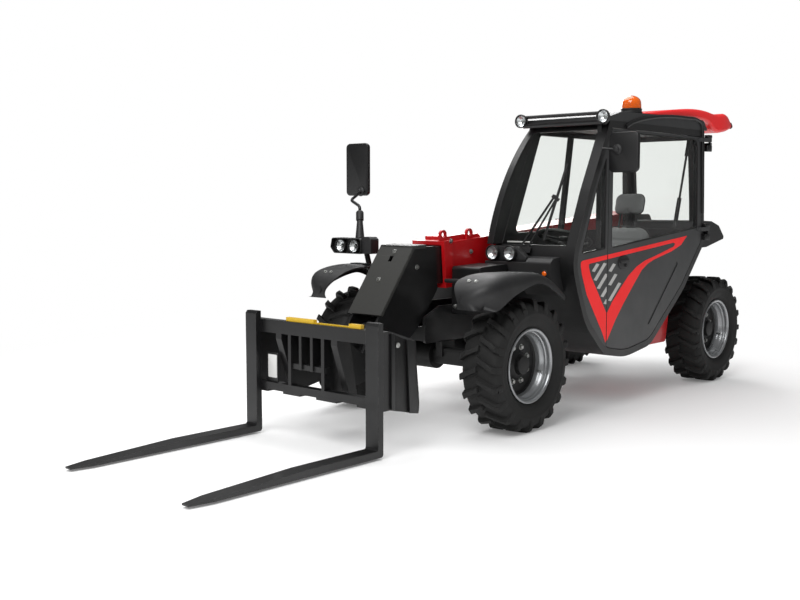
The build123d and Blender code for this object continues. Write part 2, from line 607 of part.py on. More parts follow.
# boom head: two side plates outside the inner boom, a wide front cover and the tilt pin's bosses
nose = -nose_overhang
tilt_y, tilt_z = tilt_pin
head_profile = [
    (nose - 127, 1057), (nose + 85, 1062, 10), (nose + 105, 800, 60), (nose - 44, 615, 60), (nose - 152, 517, 60),
    (tilt_y + 130, tilt_z + 10, 60), (tilt_y + 50, tilt_z - 45, 30), (tilt_y - 45, tilt_z - 40, 35),
    (tilt_y - 55, tilt_z + 45, 30),
]
cover_slope = atan2(1057 - (tilt_z + 45), nose - 127 - (tilt_y - 55))
proud_y, proud_z = 12 * sin(cover_slope), 12 * cos(cover_slope)
with BuildPart() as boom_head:
    for x_low in (boom_x - half_width, boom_x + half_inner_width):
        side_slab(head_profile, x_low, x_low + half_width - half_inner_width)
    # front cover, standing proud of the plates, with its top return and a slot
    lower_y, lower_z = nose - 127 - 480 * cos(cover_slope), 1057 - 480 * sin(cover_slope)
    side_slab([(nose - 20, 1060), (nose - 127, 1057), (lower_y, lower_z), (lower_y - proud_y, lower_z + proud_z),
               (nose - 127 - proud_y, 1057 + proud_z, 25), (nose - 20, 1072)], boom_x - half_width,
              boom_x + half_width)
    slot_y, slot_z = nose - 127 - 90 * cos(cover_slope), 1057 - 90 * sin(cover_slope)
    side_slab([(slot_y - 60, slot_z - 20), (slot_y + 30, slot_z - 20), (slot_y + 30, slot_z + 20),
               (slot_y - 60, slot_z + 20)], boom_x - 14, boom_x + 14, Mode.SUBTRACT)
    cross_cylinder(tilt_foot_pin, 18, boom_x - half_inner_width, boom_x + half_inner_width)
    cross_cylinder(tilt_pin, tilt_pin_radius, boom_x - half_width - 30, boom_x + half_width + 30)
    # cross tube behind the tilt pin, between the plates
    cross_cylinder((tilt_y + 105, tilt_z + 40), 30, boom_x - half_inner_width, boom_x + half_inner_width)
save(boom_head.part, "boom_head")

# ================================================================ carriage
back = carriage_face + bar_thickness
bar_heights = {"top": (590, 664), "bottom": (250, 306)}
with BuildPart() as carriage:
    for z_low, z_high in bar_heights.values():
        block(-carriage_half, carriage_half, carriage_face, back, z_low, z_high)
    # notches for the tines' lower hooks
    for x_low, x_high in ((-380, -250), (-110, 20), (180, 330)):
        block(x_low, x_high, carriage_face - 1, back + 1, 249, 262, mode=Mode.SUBTRACT)
    for x_low in (-carriage_half, carriage_half - 26):
        side_slab([(back, 664), (back, 250), (tilt_y - 70, 200, 20), (tilt_y - 66, 260), (tilt_y - 100, 600, 30)],
                  x_low, x_low + 26)
        block(x_low, x_low + 26, carriage_face, back, 306, 590)
    # slanted inner uprights
    for offset_x in (-245, 200):
        side_slab([(back - 20, 640), (back - 50, 600), (back - 50, 560), (back + 50, 262), (back + 105, 262),
                   (back + 40, 640)], boom_x + offset_x, boom_x + offset_x + 45)
    for side in (-1, 1):
        lug_low = boom_x + side * (half_width + 18) - 12
        side_slab([(carriage_face, 300), (back, 270), (tilt_y, tilt_z - 60, 50), (tilt_y + 55, tilt_z, 40),
                   (tilt_y, tilt_z + 60, 50), (back, 650), (carriage_face, 600)], lug_low, lug_low + 24)
        cross_cylinder(tilt_pin, tilt_pin_radius + pin_fit, lug_low - 1, lug_low + 25, mode=Mode.SUBTRACT)
        rod_low = boom_x + side * 45 - 10
        side_slab([(carriage_face, 592), (carriage_face, 400), (back, 430), (tilt_rod_pin[0], tilt_rod_pin[1] - 38, 30),
                   (tilt_rod_pin[0] + 38, tilt_rod_pin[1], 26), (tilt_rod_pin[0], tilt_rod_pin[1] + 38, 30),
                   (back, 640)], rod_low, rod_low + 20)
    block(boom_x - 150, boom_x + 150, carriage_face + 10, back - 10, 400, 430)
save(carriage.part, "carriage")

with BuildPart() as tines:
    heel = carriage_face - tine_thickness
    tine_low, tine_tip = tine_clearance, carriage_face - tine_length
    for side in (-1, 1):
        x_low = side * (carriage_half - tine_width / 2) - tine_width / 2
        side_slab([(carriage_face, 710), (carriage_face, tine_low, 18), (tine_tip, tine_low), (tine_tip, tine_low + 9),
                   (heel - 520, tine_low + tine_thickness), (heel, tine_low + tine_thickness, 14), (heel, 695),
                   (heel + 12, 710)], x_low, x_low + tine_width)
        for edge, inward in ((x_low, 1), (x_low + tine_width, -1)):
            plan_slab([(edge - inward, tine_tip - 1), (edge + inward * 22, tine_tip - 1), (edge - inward, tine_tip + 130)],
                      tine_low - 1, tine_low + 100, mode=Mode.SUBTRACT)
save(tines.part, "tines")

with BuildPart() as locking_lever:
    # long handle, cross rod and short grip on the top bar
    lever_z = bar_heights["top"][1]
    block(-232, -8, carriage_face + 12, carriage_face + 38, lever_z, lever_z + 22)
    block(262, 350, carriage_face + 12, carriage_face + 38, lever_z, lever_z + 22)
    block(-8, 262, carriage_face + 20, carriage_face + 30, lever_z, lever_z + 8)
save(locking_lever.part, "locking_lever")


def cylinder_pair(label, foot, eye, barrel_start, shown_rod, radii, eye_width, foot_bore, retract):
    """A hydraulic cylinder between two pins: barrel with its foot eye, and rod with its open eye."""
    barrel_radius, rod_radius, eye_radius = radii
    span = hypot(eye[0] - foot[0], eye[1] - foot[1])
    barrel_length = span - shown_rod
    tail = barrel_start + 40 + retract
    with BuildPart() as barrel:
        cross_cylinder(foot, eye_radius, boom_x - eye_width / 2, boom_x + eye_width / 2)
        along(foot, eye, barrel_radius, barrel_start, barrel_length)
        along(foot, eye, barrel_radius + 5, barrel_length - 30, barrel_length)
        along(foot, eye, rod_radius, 10, barrel_start + 1)
        along(foot, eye, rod_radius + seat_gap, barrel_start + 25, barrel_length + 1, mode=Mode.SUBTRACT)
        cross_cylinder(foot, foot_bore + pin_fit, boom_x - eye_width, boom_x + eye_width, mode=Mode.SUBTRACT)
    save(barrel.part, f"{label}_barrel")
    with BuildPart() as piston_rod:
        along(foot, eye, rod_radius, tail, span)
        cross_cylinder(eye, eye_radius, boom_x - eye_width / 2, boom_x + eye_width / 2)
        cross_cylinder(eye, eye_radius - 14, boom_x - eye_width, boom_x + eye_width, mode=Mode.SUBTRACT)
    save(piston_rod.part, f"{label}_rod")


cylinder_pair("lift", lift_foot_pin, lift_rod_pin, 75, 81, (50, 28, 36), 60, 20, 5)
cylinder_pair("tilt", tilt_foot_pin, tilt_rod_pin, 20, 129, (40, 20, 30), 60, 18, 40)

# ================================================================ covers and trim
hinge_axis_x, hinge_axis_z = hood_hinge
bay_wall = 25
with BuildPart() as engine_bay:
    block(engine_side, right_plate, bay_front, bay_rear, 380, 398)
    for y_low in (bay_front, bay_rear - bay_wall):
        cross_slab([(engine_side, 398), (engine_side, 850, 40), (engine_side + 28, 910, 40), (-585, 950, 40),
                    (right_plate, 950), (right_plate, 398)], y_low, y_low + bay_wall)
        # hinge bracket over the wall, and its pin pointing along the hood
        cross_slab([(hinge_axis_x - 12, 940), (right_plate, 940), (right_plate, hinge_axis_z + 6, 4),
                    (hinge_axis_x - 12, hinge_axis_z + 12, 8)], y_low, y_low + bay_wall)
    for y_low, y_high in ((bay_front + bay_wall, bay_front + 70), (bay_rear - 70, bay_rear - bay_wall)):
        rod((hinge_axis_x, y_low, hinge_axis_z), (hinge_axis_x, y_high, hinge_axis_z), hinge_pin_radius)
save(engine_bay.part, "engine_bay")

hood_inner = hinge_axis_x - 4
with BuildPart() as hood:
    cross_slab([(hood_inner, 970), (hood_inner, 992), (-600, 990, 60), (-690, 940, 60), (-722, 860, 60), (-722, 420),
                (-700, 420), (-700, 855, 50), (-672, 925, 50), (-592, 968, 50)], bay_front - 5, bay_rear + 5)
    # clear of the hinge brackets, with a knuckle on each pin
    for y_low, y_high in ((bay_front - 10, bay_front + 30), (bay_rear - 30, bay_rear + 10)):
        block(hinge_axis_x - 26, hinge_axis_x + 26, y_low, y_high, 955, 1010, mode=Mode.SUBTRACT)
    for y_low in (bay_front + 30, bay_rear - 90):
        rod((hinge_axis_x, y_low, hinge_axis_z), (hinge_axis_x, y_low + 60, hinge_axis_z), 14)
        rod((hinge_axis_x, y_low - 1, hinge_axis_z), (hinge_axis_x, y_low + 61, hinge_axis_z),
            hinge_pin_radius + pin_fit, Mode.SUBTRACT)
    # air slots in the side skin
    for row in range(5):
        block(-740, -690, bay_front + 400, bay_rear - 360, 560 + 50 * row, 575 + 50 * row, mode=Mode.SUBTRACT)
save(hood.part, "hood")

crest = fender_top
fender_skin = [(-455, crest - 190, 25), (-440, crest - 110, 60), (-330, crest, 120), (20, crest - 2, 300),
               (200, crest - 50, 100), (338, crest - 145, 10)]
fender_lip = [(317, crest - 181), (180, crest - 100, 120), (54, crest - 62, 100), (-150, crest - 110, 150),
              (-328, crest - 200, 60)]
fender_hollow = [(-500, crest - 400), (-441, crest - 190), (-426, crest - 118, 50), (-324, crest - fender_sheet, 110),
                 (18, crest - 2 - fender_sheet, 290), (192, crest - 62, 90), (322, crest - 152), (420, crest - 400)]
for side, name in ((1, "left"), (-1, "right")):
    with BuildPart() as fender:
        side_slab(fender_skin + fender_lip, *sorted((side * fender_inner, side * fender_outer)))
        # rounded along the top of the outer side
        top_edges = [edge for edge in fender.edges() if abs(edge.center().X) > fender_outer - 1
                     and edge.center().Z > crest - 30 - abs(edge.center().Y - front_axle_y) / 3]
        fillet(top_edges, fender_edge)
        side_slab(fender_hollow, *sorted((side * (fender_inner - 5), side * (fender_outer - 12))), Mode.SUBTRACT)
        # plan shape, rounded at the outer front corner
        x_edges = [side * (fender_inner - 1), side * fender_outer]
        plan_slab([(x_edges[0], -470, 10), (x_edges[1], -470, 110), (x_edges[1], 350, 60), (x_edges[0], 350, 10)],
                  0, 2 * crest, mode=Mode.INTERSECT)
        plate = left_plate + frame_plate if side > 0 else right_plate
        block(*sorted((side * (fender_inner + 20), plate)), -40, 20, crest - 50, crest - fender_sheet - 1)
        block(*sorted((plate + side * 20, plate)), -40, 20, 640, crest - fender_sheet - 1)
    save(fender.part, f"front_fender_{name}")

with BuildPart() as front_box:
    # fluid box beside the boom, stepped clear of the steered wheel
    side_slab([(52, 640, 10), (340, 640, 10), (340, 945, 20), (52, 935, 20)], left_plate + frame_plate, 240)
    side_slab([(52, 800), (340, 800), (340, 945, 20), (52, 935, 20)], 240, 300)
save(front_box.part, "front_box")

with BuildPart() as cowl:
    # shelf ahead of the cab's front panel
    side_slab([(360, 830, 20), (520, 760), (520, 1000), (390, 985, 20), (360, 960, 20)], cab_right + 6, cab_left - 60)
    cab_section(cab_right, cab_left, mode=Mode.SUBTRACT)
    block(cab_right, cab_left, 500, 600, 700, 1100, mode=Mode.SUBTRACT)
    block(cab_right, 416, 340, 434, 959.7, 1010, mode=Mode.SUBTRACT)
save(cowl.part, "cowl")

lamp_radius = 40
for name, x_low, x_high, lamp_x, face_y, z_mid in (
    ("left", 84, 412, (140, 250), 352, 1010), ("right", -800, -455, (-740, -640), -152, 1020),
):
    with BuildPart() as headlamp:
        housing_z = z_mid - 40
        side_slab([(face_y + 14, housing_z, 8), (face_y + 80, housing_z - 10), (face_y + 80, z_mid + 44, 10),
                   (face_y, z_mid + 42, 12)], x_low, x_high)
        for x in lamp_x:
            rod((x, face_y - 8, z_mid), (x, face_y + 60, z_mid), lamp_radius + 5)
            rod((x, face_y - 9, z_mid), (x, face_y + 4, z_mid), lamp_radius, Mode.SUBTRACT)
            rod((x, face_y + 4, z_mid), (x, face_y - 2, z_mid), lamp_radius - 6)
        if name == "right":
            block(-645, -575, face_y + 70, -40, z_mid - 20, z_mid + 20)
            upright(-610, -40, 15, fender_top, z_mid + 10)
            upright(-610, -40, 12, z_mid + 10, 1270)
            upright(-610, -40, 24, 1200, 1270)
            # foot along the fender's sloping top
            side_slab([(-90, fender_top - 2 * 240 / 350), (-22, fender_top - 2 * 308 / 350), (-22, fender_top + 12),
                       (-90, fender_top + 12)], -650, -470)
    save(headlamp.part, f"headlamp_{name}")

mirror_inner = door_outer + mirror_clearance
with BuildPart() as mirror_left:
    side_slab([(785, roof_underside - 328, 10), (815, roof_underside - 328, 10), (815, roof_underside - 81, 10),
               (785, roof_underside - 81, 10)], mirror_inner, mirror_reach)
    rod((door_outer + 2.3, 768, roof_underside - 178), (mirror_inner + 60, 790, roof_underside - 188), 9)
save(mirror_left.part, "mirror_left")

with BuildPart() as mirror_right:
    side_slab([(165, 1370, 10), (195, 1370, 10), (195, 1722, 10), (165, 1722, 10)], -mirror_reach, -mirror_inner)
    # swept arm from the lamp post's clamp
    rod((-610, -40, 1270), (-610, -40, 1300), 10)
    rod((-610, -40, 1292), (-760, 30, 1340), 10)
    rod((-760, 30, 1340), (-800, 172, 1400), 10)
save(mirror_right.part, "mirror_right")

with BuildPart() as light_bar:
    bar_y, bar_z = 772, roof_underside - 6
    block(boom_x + half_width + 14, door_outer, bar_y, bar_y + 13, bar_z, bar_z + 26)
    rod((110, bar_y - 20, bar_z + 44), (door_outer + 24, bar_y - 20, bar_z + 44), 11)
    for x in (112, door_outer + 24):
        rod((x, bar_y - 55, bar_z + 20), (x, bar_y + 2, bar_z + 20), 45)
        rod((x, bar_y - 56, bar_z + 20), (x, bar_y - 45, bar_z + 20), 38, Mode.SUBTRACT)
save(light_bar.part, "light_bar")

# wiper on the windscreen's lower plane: two arms and a blade
screen_rise = atan2(screen_bend[1] - 968, screen_bend[0] - 442)
wiper_plane = Plane(origin=(0, front_axle_y + 442, 968), x_dir=(1, 0, 0),
                    z_dir=(0, -sin(screen_rise), cos(screen_rise))).offset(14)
# name, start (x, up the screen), end, width
wiper_bars = [
    ("long arm", (300, 60), (470, 430), 12),
    ("short arm", (360, 60), (480, 400), 10),
    ("head", (455, 425), (500, 400), 22),
    ("blade", (470, 130), (500, 640), 16),
    ("pivot shelf", (280, 60), (380, 60), 40),
]
with BuildPart() as wiper:
    for name, start, end, width in wiper_bars:
        reach = hypot(end[0] - start[0], end[1] - start[1])
        turn = degrees(atan2(end[1] - start[1], end[0] - start[0]))
        middle = ((start[0] + end[0]) / 2, (start[1] + end[1]) / 2)
        with BuildSketch(wiper_plane) as bar:
            with Locations(Location((*middle, 0), turn)):
                Rectangle(reach + width / 2, width)
        extrude(bar.sketch, amount=8)
    rod((300, 467.3, 1022.4), (300, 452.4, 1028.9), 12)
save(wiper.part, "wiper")

with BuildPart() as side_panel:
    # red chassis side behind the cab, shaped round the steered rear wheel
    side_slab([(wheelbase - 1090, 332), (wheelbase - 550, 332, 20), (wheelbase - 490, 628, 60),
               (wheelbase - 435, 705), (wheelbase - 1090, 705)], cab_right, 480)
    cab_section(cab_right - 1, cab_left, mode=Mode.SUBTRACT)
save(side_panel.part, "side_panel")

for side, name in ((1, "left"), (-1, "right")):
    with BuildPart() as rear_cover:
        inner = left_plate + frame_plate if side > 0 else right_plate
        side_slab([(wheelbase - 150, 990), (wheelbase + 10, 994, 60), (wheelbase + 313, 1053, 15),
                   (wheelbase + 210, 1150, 60), (wheelbase + 84, 1185, 60), (wheelbase - 150, 1195, 20)],
                  *sorted((side * 620, inner)))
        cross_cylinder(boom_pivot, 66, *sorted((inner - side, inner + side * 16)), Mode.SUBTRACT)
    save(rear_cover.part, f"rear_cover_{name}")
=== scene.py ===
"""Compact telehandler: finishes, tyres, wheels, lamps, trim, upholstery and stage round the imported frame.

Lengths are millimetres in the machine's own axes (x to the machine's left, y back from the front axle,
z up from the ground) until at() turns them into the frame's metres.
"""
import logging
import math
from dataclasses import dataclass
from enum import Enum
from typing import Sequence

import bmesh
import bpy
from mathutils import Matrix, Vector


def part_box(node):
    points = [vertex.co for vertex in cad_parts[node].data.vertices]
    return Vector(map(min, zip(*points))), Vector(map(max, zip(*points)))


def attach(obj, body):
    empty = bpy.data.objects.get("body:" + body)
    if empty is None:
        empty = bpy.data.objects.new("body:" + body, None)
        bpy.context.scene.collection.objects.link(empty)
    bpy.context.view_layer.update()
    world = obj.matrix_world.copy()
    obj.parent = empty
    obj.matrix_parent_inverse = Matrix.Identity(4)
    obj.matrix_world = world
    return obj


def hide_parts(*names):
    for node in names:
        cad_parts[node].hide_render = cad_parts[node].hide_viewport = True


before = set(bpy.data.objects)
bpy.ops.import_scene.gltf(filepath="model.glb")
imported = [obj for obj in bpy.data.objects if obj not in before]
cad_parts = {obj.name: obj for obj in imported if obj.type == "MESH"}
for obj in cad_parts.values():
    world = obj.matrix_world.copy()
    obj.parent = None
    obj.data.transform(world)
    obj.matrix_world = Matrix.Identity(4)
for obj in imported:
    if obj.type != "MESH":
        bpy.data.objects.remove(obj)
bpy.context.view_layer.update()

MM = 0.001
log = logging.getLogger("telehandler")

Point = tuple[float, float, float]
Profile = Sequence[tuple[float, float]]
Outline = list[tuple[float, float]]
Mesh = bmesh.types.BMesh
Material = bpy.types.Material
Tree = bpy.types.NodeTree
Socket = bpy.types.NodeSocket

# ---------------------------------------------------------------- the frame's landmarks
FRONT_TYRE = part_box("tyre_front_left")
REAR_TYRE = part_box("tyre_rear_left")
FRONT_AXLE_Y = (FRONT_TYRE[0].y + FRONT_TYRE[1].y) / 2  # metres, as the frame has it
# the rest in machine millimetres
WHEELBASE = ((REAR_TYRE[0].y + REAR_TYRE[1].y) / 2 - FRONT_AXLE_Y) / MM
DOOR_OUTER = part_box("quarter_panel")[1].x / MM
BEACON_FOOT = 30
ROOF_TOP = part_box("beacon")[0].z / MM - BEACON_FOOT
CAB_REAR = WHEELBASE - 197
BOOM_X = -60
TILT_PIN = (-690, 385)

UP = Vector((0, 0, 1))
AHEAD = Vector((0, -1, 0))
LEFT = Vector((1, 0, 0))
CRISP = math.radians(35)  # an edge that turns by more takes a bevel


def at(x: float, y: float, z: float) -> Vector:
    """Turn machine millimetres into a point of the frame in metres."""
    return Vector((x * MM, y * MM + FRONT_AXLE_Y, z * MM))


# ---------------------------------------------------------------- materials
def linear(hex_colour: str) -> tuple[float, float, float, float]:
    """Turn an sRGB hex colour into linear RGBA.

    Args:
        hex_colour: a colour such as "#c00f18".

    Returns:
        The four linear channels, alpha 1.
    """
    shares = [int(hex_colour[i : i + 2], 16) / 255 for i in (1, 3, 5)]
    red, green, blue = [s / 12.92 if s <= 0.04045 else ((s + 0.055) / 1.055) ** 2.4 for s in shares]
    return red, green, blue, 1.0


def add_node(
    tree: Tree, kind: str, inputs: dict[str | int, object] | None = None, **settings: object
) -> bpy.types.Node:
    """Add a shader node with its settings, values and links.

    Args:
        tree: the material's node tree.
        kind: the node's type name.
        inputs: a value, or an output socket to link, for each input by name or place.
        settings: the node's own attributes.

    Returns:
        The new node.
    """
    node = tree.nodes.new(kind)
    for key, value in settings.items():
        setattr(node, key, value)
    for key, value in (inputs or {}).items():
        if isinstance(value, Socket):
            tree.links.new(value, node.inputs[key])
        else:
            node.inputs[key].default_value = value
    return node


def blank_material(name: str) -> tuple[Material, Tree, bpy.types.Node]:
    """Start a node material.

    Args:
        name: the material's name.

    Returns:
        The material, its tree and its output node.
    """
    material = bpy.data.materials.new(name)
    material.use_nodes = True
    material.node_tree.nodes.clear()
    return material, material.node_tree, add_node(material.node_tree, "ShaderNodeOutputMaterial")


def add_noise(tree: Tree, place: Socket, scale: float, **inputs: float) -> Socket:
    """Return a noise's height."""
    return add_node(tree, "ShaderNodeTexNoise", {"Vector": place, "Scale": scale, **inputs}).outputs["Fac"]


def add_cells(tree: Tree, place: Socket, scale: float) -> Socket:
    """Return the distance to the nearest of scattered points."""
    return add_node(tree, "ShaderNodeTexVoronoi", {"Vector": place, "Scale": scale}).outputs["Distance"]


def add_math(tree: Tree, operation: str, first: object, second: object) -> Socket:
    """Return what a sum makes of two values."""
    return add_node(tree, "ShaderNodeMath", {0: first, 1: second}, operation=operation).outputs[0]


def add_range(tree: Tree, value: Socket, start: float = 0.0, end: float = 1.0, low: float = 0.0,
              high: float = 1.0, **settings: str) -> Socket:
    """Carry a value from one range to another.

    Args:
        tree: the material's node tree.
        value: the value.
        start: what becomes low.
        end: what becomes high.
        low: the new range's start.
        high: the new range's end.
        settings: the node's own attributes.

    Returns:
        The carried value.
    """
    return add_node(tree, "ShaderNodeMapRange", {"Value": value, "From Min": start, "From Max": end,
                                                 "To Min": low, "To Max": high}, **settings).outputs["Result"]


def blend(tree: Tree, share: Socket, first: object, second: object) -> Socket:
    """Return a mix of two colours."""
    return add_node(tree, "ShaderNodeMix", {0: share, 6: first, 7: second}, data_type="RGBA").outputs[2]


def object_place(tree: Tree) -> Socket:
    """Return the Object coordinates."""
    return add_node(tree, "ShaderNodeTexCoord").outputs["Object"]


class Grain(Enum):
    """What the surface's fine relief is."""

    PEEL = "the soft orange peel of sprayed paint"
    PEBBLE = "the pebbled skin of a textured mould"
    WEAVE = "two crossed sets of threads"
    BRUSHED = "fine lines left by turning or drawing"


@dataclass(frozen=True)
class Finish:
    """A solid finish with slow colour patches, a fine relief, uneven gloss, softly caught edges and, where given,
    an edge shading colour: a painted highlight along the edges when paler, painted shade when darker.
    """

    name: str
    colour: str
    patch_colour: str
    roughness: float
    grain: Grain = Grain.PEEL
    grain_mm: float = 8.0
    grain_depth_mm: float = 0.02
    patch_mm: float = 260.0
    metallic: float = 0.0
    ior: float = 1.5
    coat: float = 0.0
    sheen: float = 0.0
    edge_mm: float = 2.5
    # the colour painted along the edges: paler for a painted highlight, darker for painted shade
    edge_shading_colour: str = ""

    def relief(self, tree: Tree, place: Socket) -> Socket:
        """Build the grain's height, about 0 to 1.

        Args:
            tree: the material's node tree.
            place: the Object coordinates.

        Returns:
            The height's socket.
        """
        scale = 1 / (self.grain_mm * MM)
        if self.grain is Grain.PEBBLE:
            return add_cells(tree, place, scale)
        if self.grain is Grain.WEAVE:
            waves = [
                add_node(tree, "ShaderNodeTexWave", {"Vector": place, "Scale": scale / 6.28,
                                                     "Distortion": 0.4},
                         bands_direction=direction).outputs["Fac"]
                for direction in ("X", "Z")
            ]
            return add_math(tree, "MULTIPLY", *waves)
        if self.grain is Grain.BRUSHED:
            stretched = add_node(tree, "ShaderNodeMapping", {"Vector": place, "Scale": (1.0, 0.04, 1.0)})
            place = stretched.outputs["Vector"]
        return add_noise(tree, place, scale, Detail=2.0)

    def painted_edge_shading(self, tree: Tree, place: Socket, rounded_normal: Socket) -> Socket:
        """Find where light or shade is painted: on the edges, and broken there.

        Args:
            tree: the material's node tree.
            place: the Object coordinates.
            rounded_normal: the normal with its edges rounded.

        Returns:
            The share of painted edge shading.
        """
        flat = add_node(tree, "ShaderNodeNewGeometry").outputs["Normal"]
        facing = add_node(tree, "ShaderNodeVectorMath", {0: rounded_normal, 1: flat},
                          operation="DOT_PRODUCT").outputs["Value"]
        # noise that breaks up the painted edge shading
        shading_breaks = add_noise(tree, place, 1 / (14 * MM), Detail=5.0)
        return add_math(tree, "MULTIPLY", add_range(tree, facing, 0.97, 0.80),
                        add_range(tree, shading_breaks, 0.52, 0.64))

    def material(self) -> Material:
        """Build the finish's material.

        Returns:
            The material.
        """
        material, tree, output = blank_material(self.name)
        place = object_place(tree)
        patch = add_noise(tree, place, 1 / (self.patch_mm * MM), Detail=4.0, Roughness=0.6)
        shade = blend(tree, add_range(tree, patch, 0.35, 0.65), linear(self.colour),
                      linear(self.patch_colour))
        normal = add_node(tree, "ShaderNodeBevel", {"Radius": self.edge_mm * MM}, samples=4).outputs["Normal"]
        # painted light on the edges, mixed into the colour: a painted highlight where the edge colour is paler,
        # painted shade where it is darker
        if self.edge_shading_colour:
            shade = blend(tree, self.painted_edge_shading(tree, place, normal), shade, linear(self.edge_shading_colour))
        gloss = add_range(tree, patch, 0.3, 0.7, max(0.05, self.roughness - 0.06), self.roughness + 0.08)
        bump = add_node(tree, "ShaderNodeBump", {"Height": self.relief(tree, place), "Strength": 1.0,
                                                 "Distance": self.grain_depth_mm * MM, "Normal": normal})
        shader = add_node(tree, "ShaderNodeBsdfPrincipled",
                          {"Base Color": shade, "Roughness": gloss, "Normal": bump.outputs["Normal"],
                           "Metallic": self.metallic, "IOR": self.ior, "Coat Weight": self.coat,
                           "Coat Roughness": 0.08, "Sheen Weight": self.sheen})
        tree.links.new(shader.outputs["BSDF"], output.inputs["Surface"])
        return material


@dataclass(frozen=True)
class Pane:
    """Clear glass or plastic: a tint of what is behind it, with the surface's own reflection over it."""

    name: str
    tint: str
    roughness: float = 0.02
    ior: float = 1.5

    def material(self) -> Material:
        """Build the pane's material: a transparent tint under a Fresnel reflection, faintly smeared.

        Returns:
            The material.
        """
        material, tree, output = blank_material(self.name)
        smear = add_noise(tree, object_place(tree), 6.0, Detail=3.0)
        gloss = add_range(tree, smear, low=self.roughness, high=self.roughness + 0.05)
        clear = add_node(tree, "ShaderNodeBsdfTransparent", {"Color": linear(self.tint)})
        shine = add_node(tree, "ShaderNodeBsdfGlossy", {"Roughness": gloss})
        # only the outer skin mirrors, so that light passes the pane's far side
        outside = add_math(tree, "SUBTRACT", 1.0,
                           add_node(tree, "ShaderNodeNewGeometry").outputs["Backfacing"])
        share = add_math(tree, "MULTIPLY", add_node(tree, "ShaderNodeFresnel", {"IOR": self.ior}).outputs[0],
                         outside)
        both = add_node(tree, "ShaderNodeMixShader", {0: share, 1: clear.outputs[0], 2: shine.outputs[0]})
        tree.links.new(both.outputs[0], output.inputs["Surface"])
        return material


@dataclass(frozen=True)
class Mirror:
    """Silvered glass or a polished reflector."""

    name: str
    colour: str
    roughness: float = 0.03
    flute_mm: float = 0.0

    def material(self) -> Material:
        """Build the silvering's material, with moulded flutes where the reflector has them.

        Returns:
            The material.
        """
        material, tree, output = blank_material(self.name)
        place = object_place(tree)
        gloss = add_range(tree, add_noise(tree, place, 20.0), low=self.roughness, high=self.roughness + 0.06)
        shader = add_node(tree, "ShaderNodeBsdfPrincipled",
                          {"Base Color": linear(self.colour), "Metallic": 1.0, "Roughness": gloss})
        if self.flute_mm:
            flutes = add_cells(tree, place, 1 / (self.flute_mm * MM))
            bump = add_node(tree, "ShaderNodeBump", {"Height": flutes, "Distance": 0.6 * MM})
            tree.links.new(bump.outputs["Normal"], shader.inputs["Normal"])
        tree.links.new(shader.outputs["BSDF"], output.inputs["Surface"])
        return material


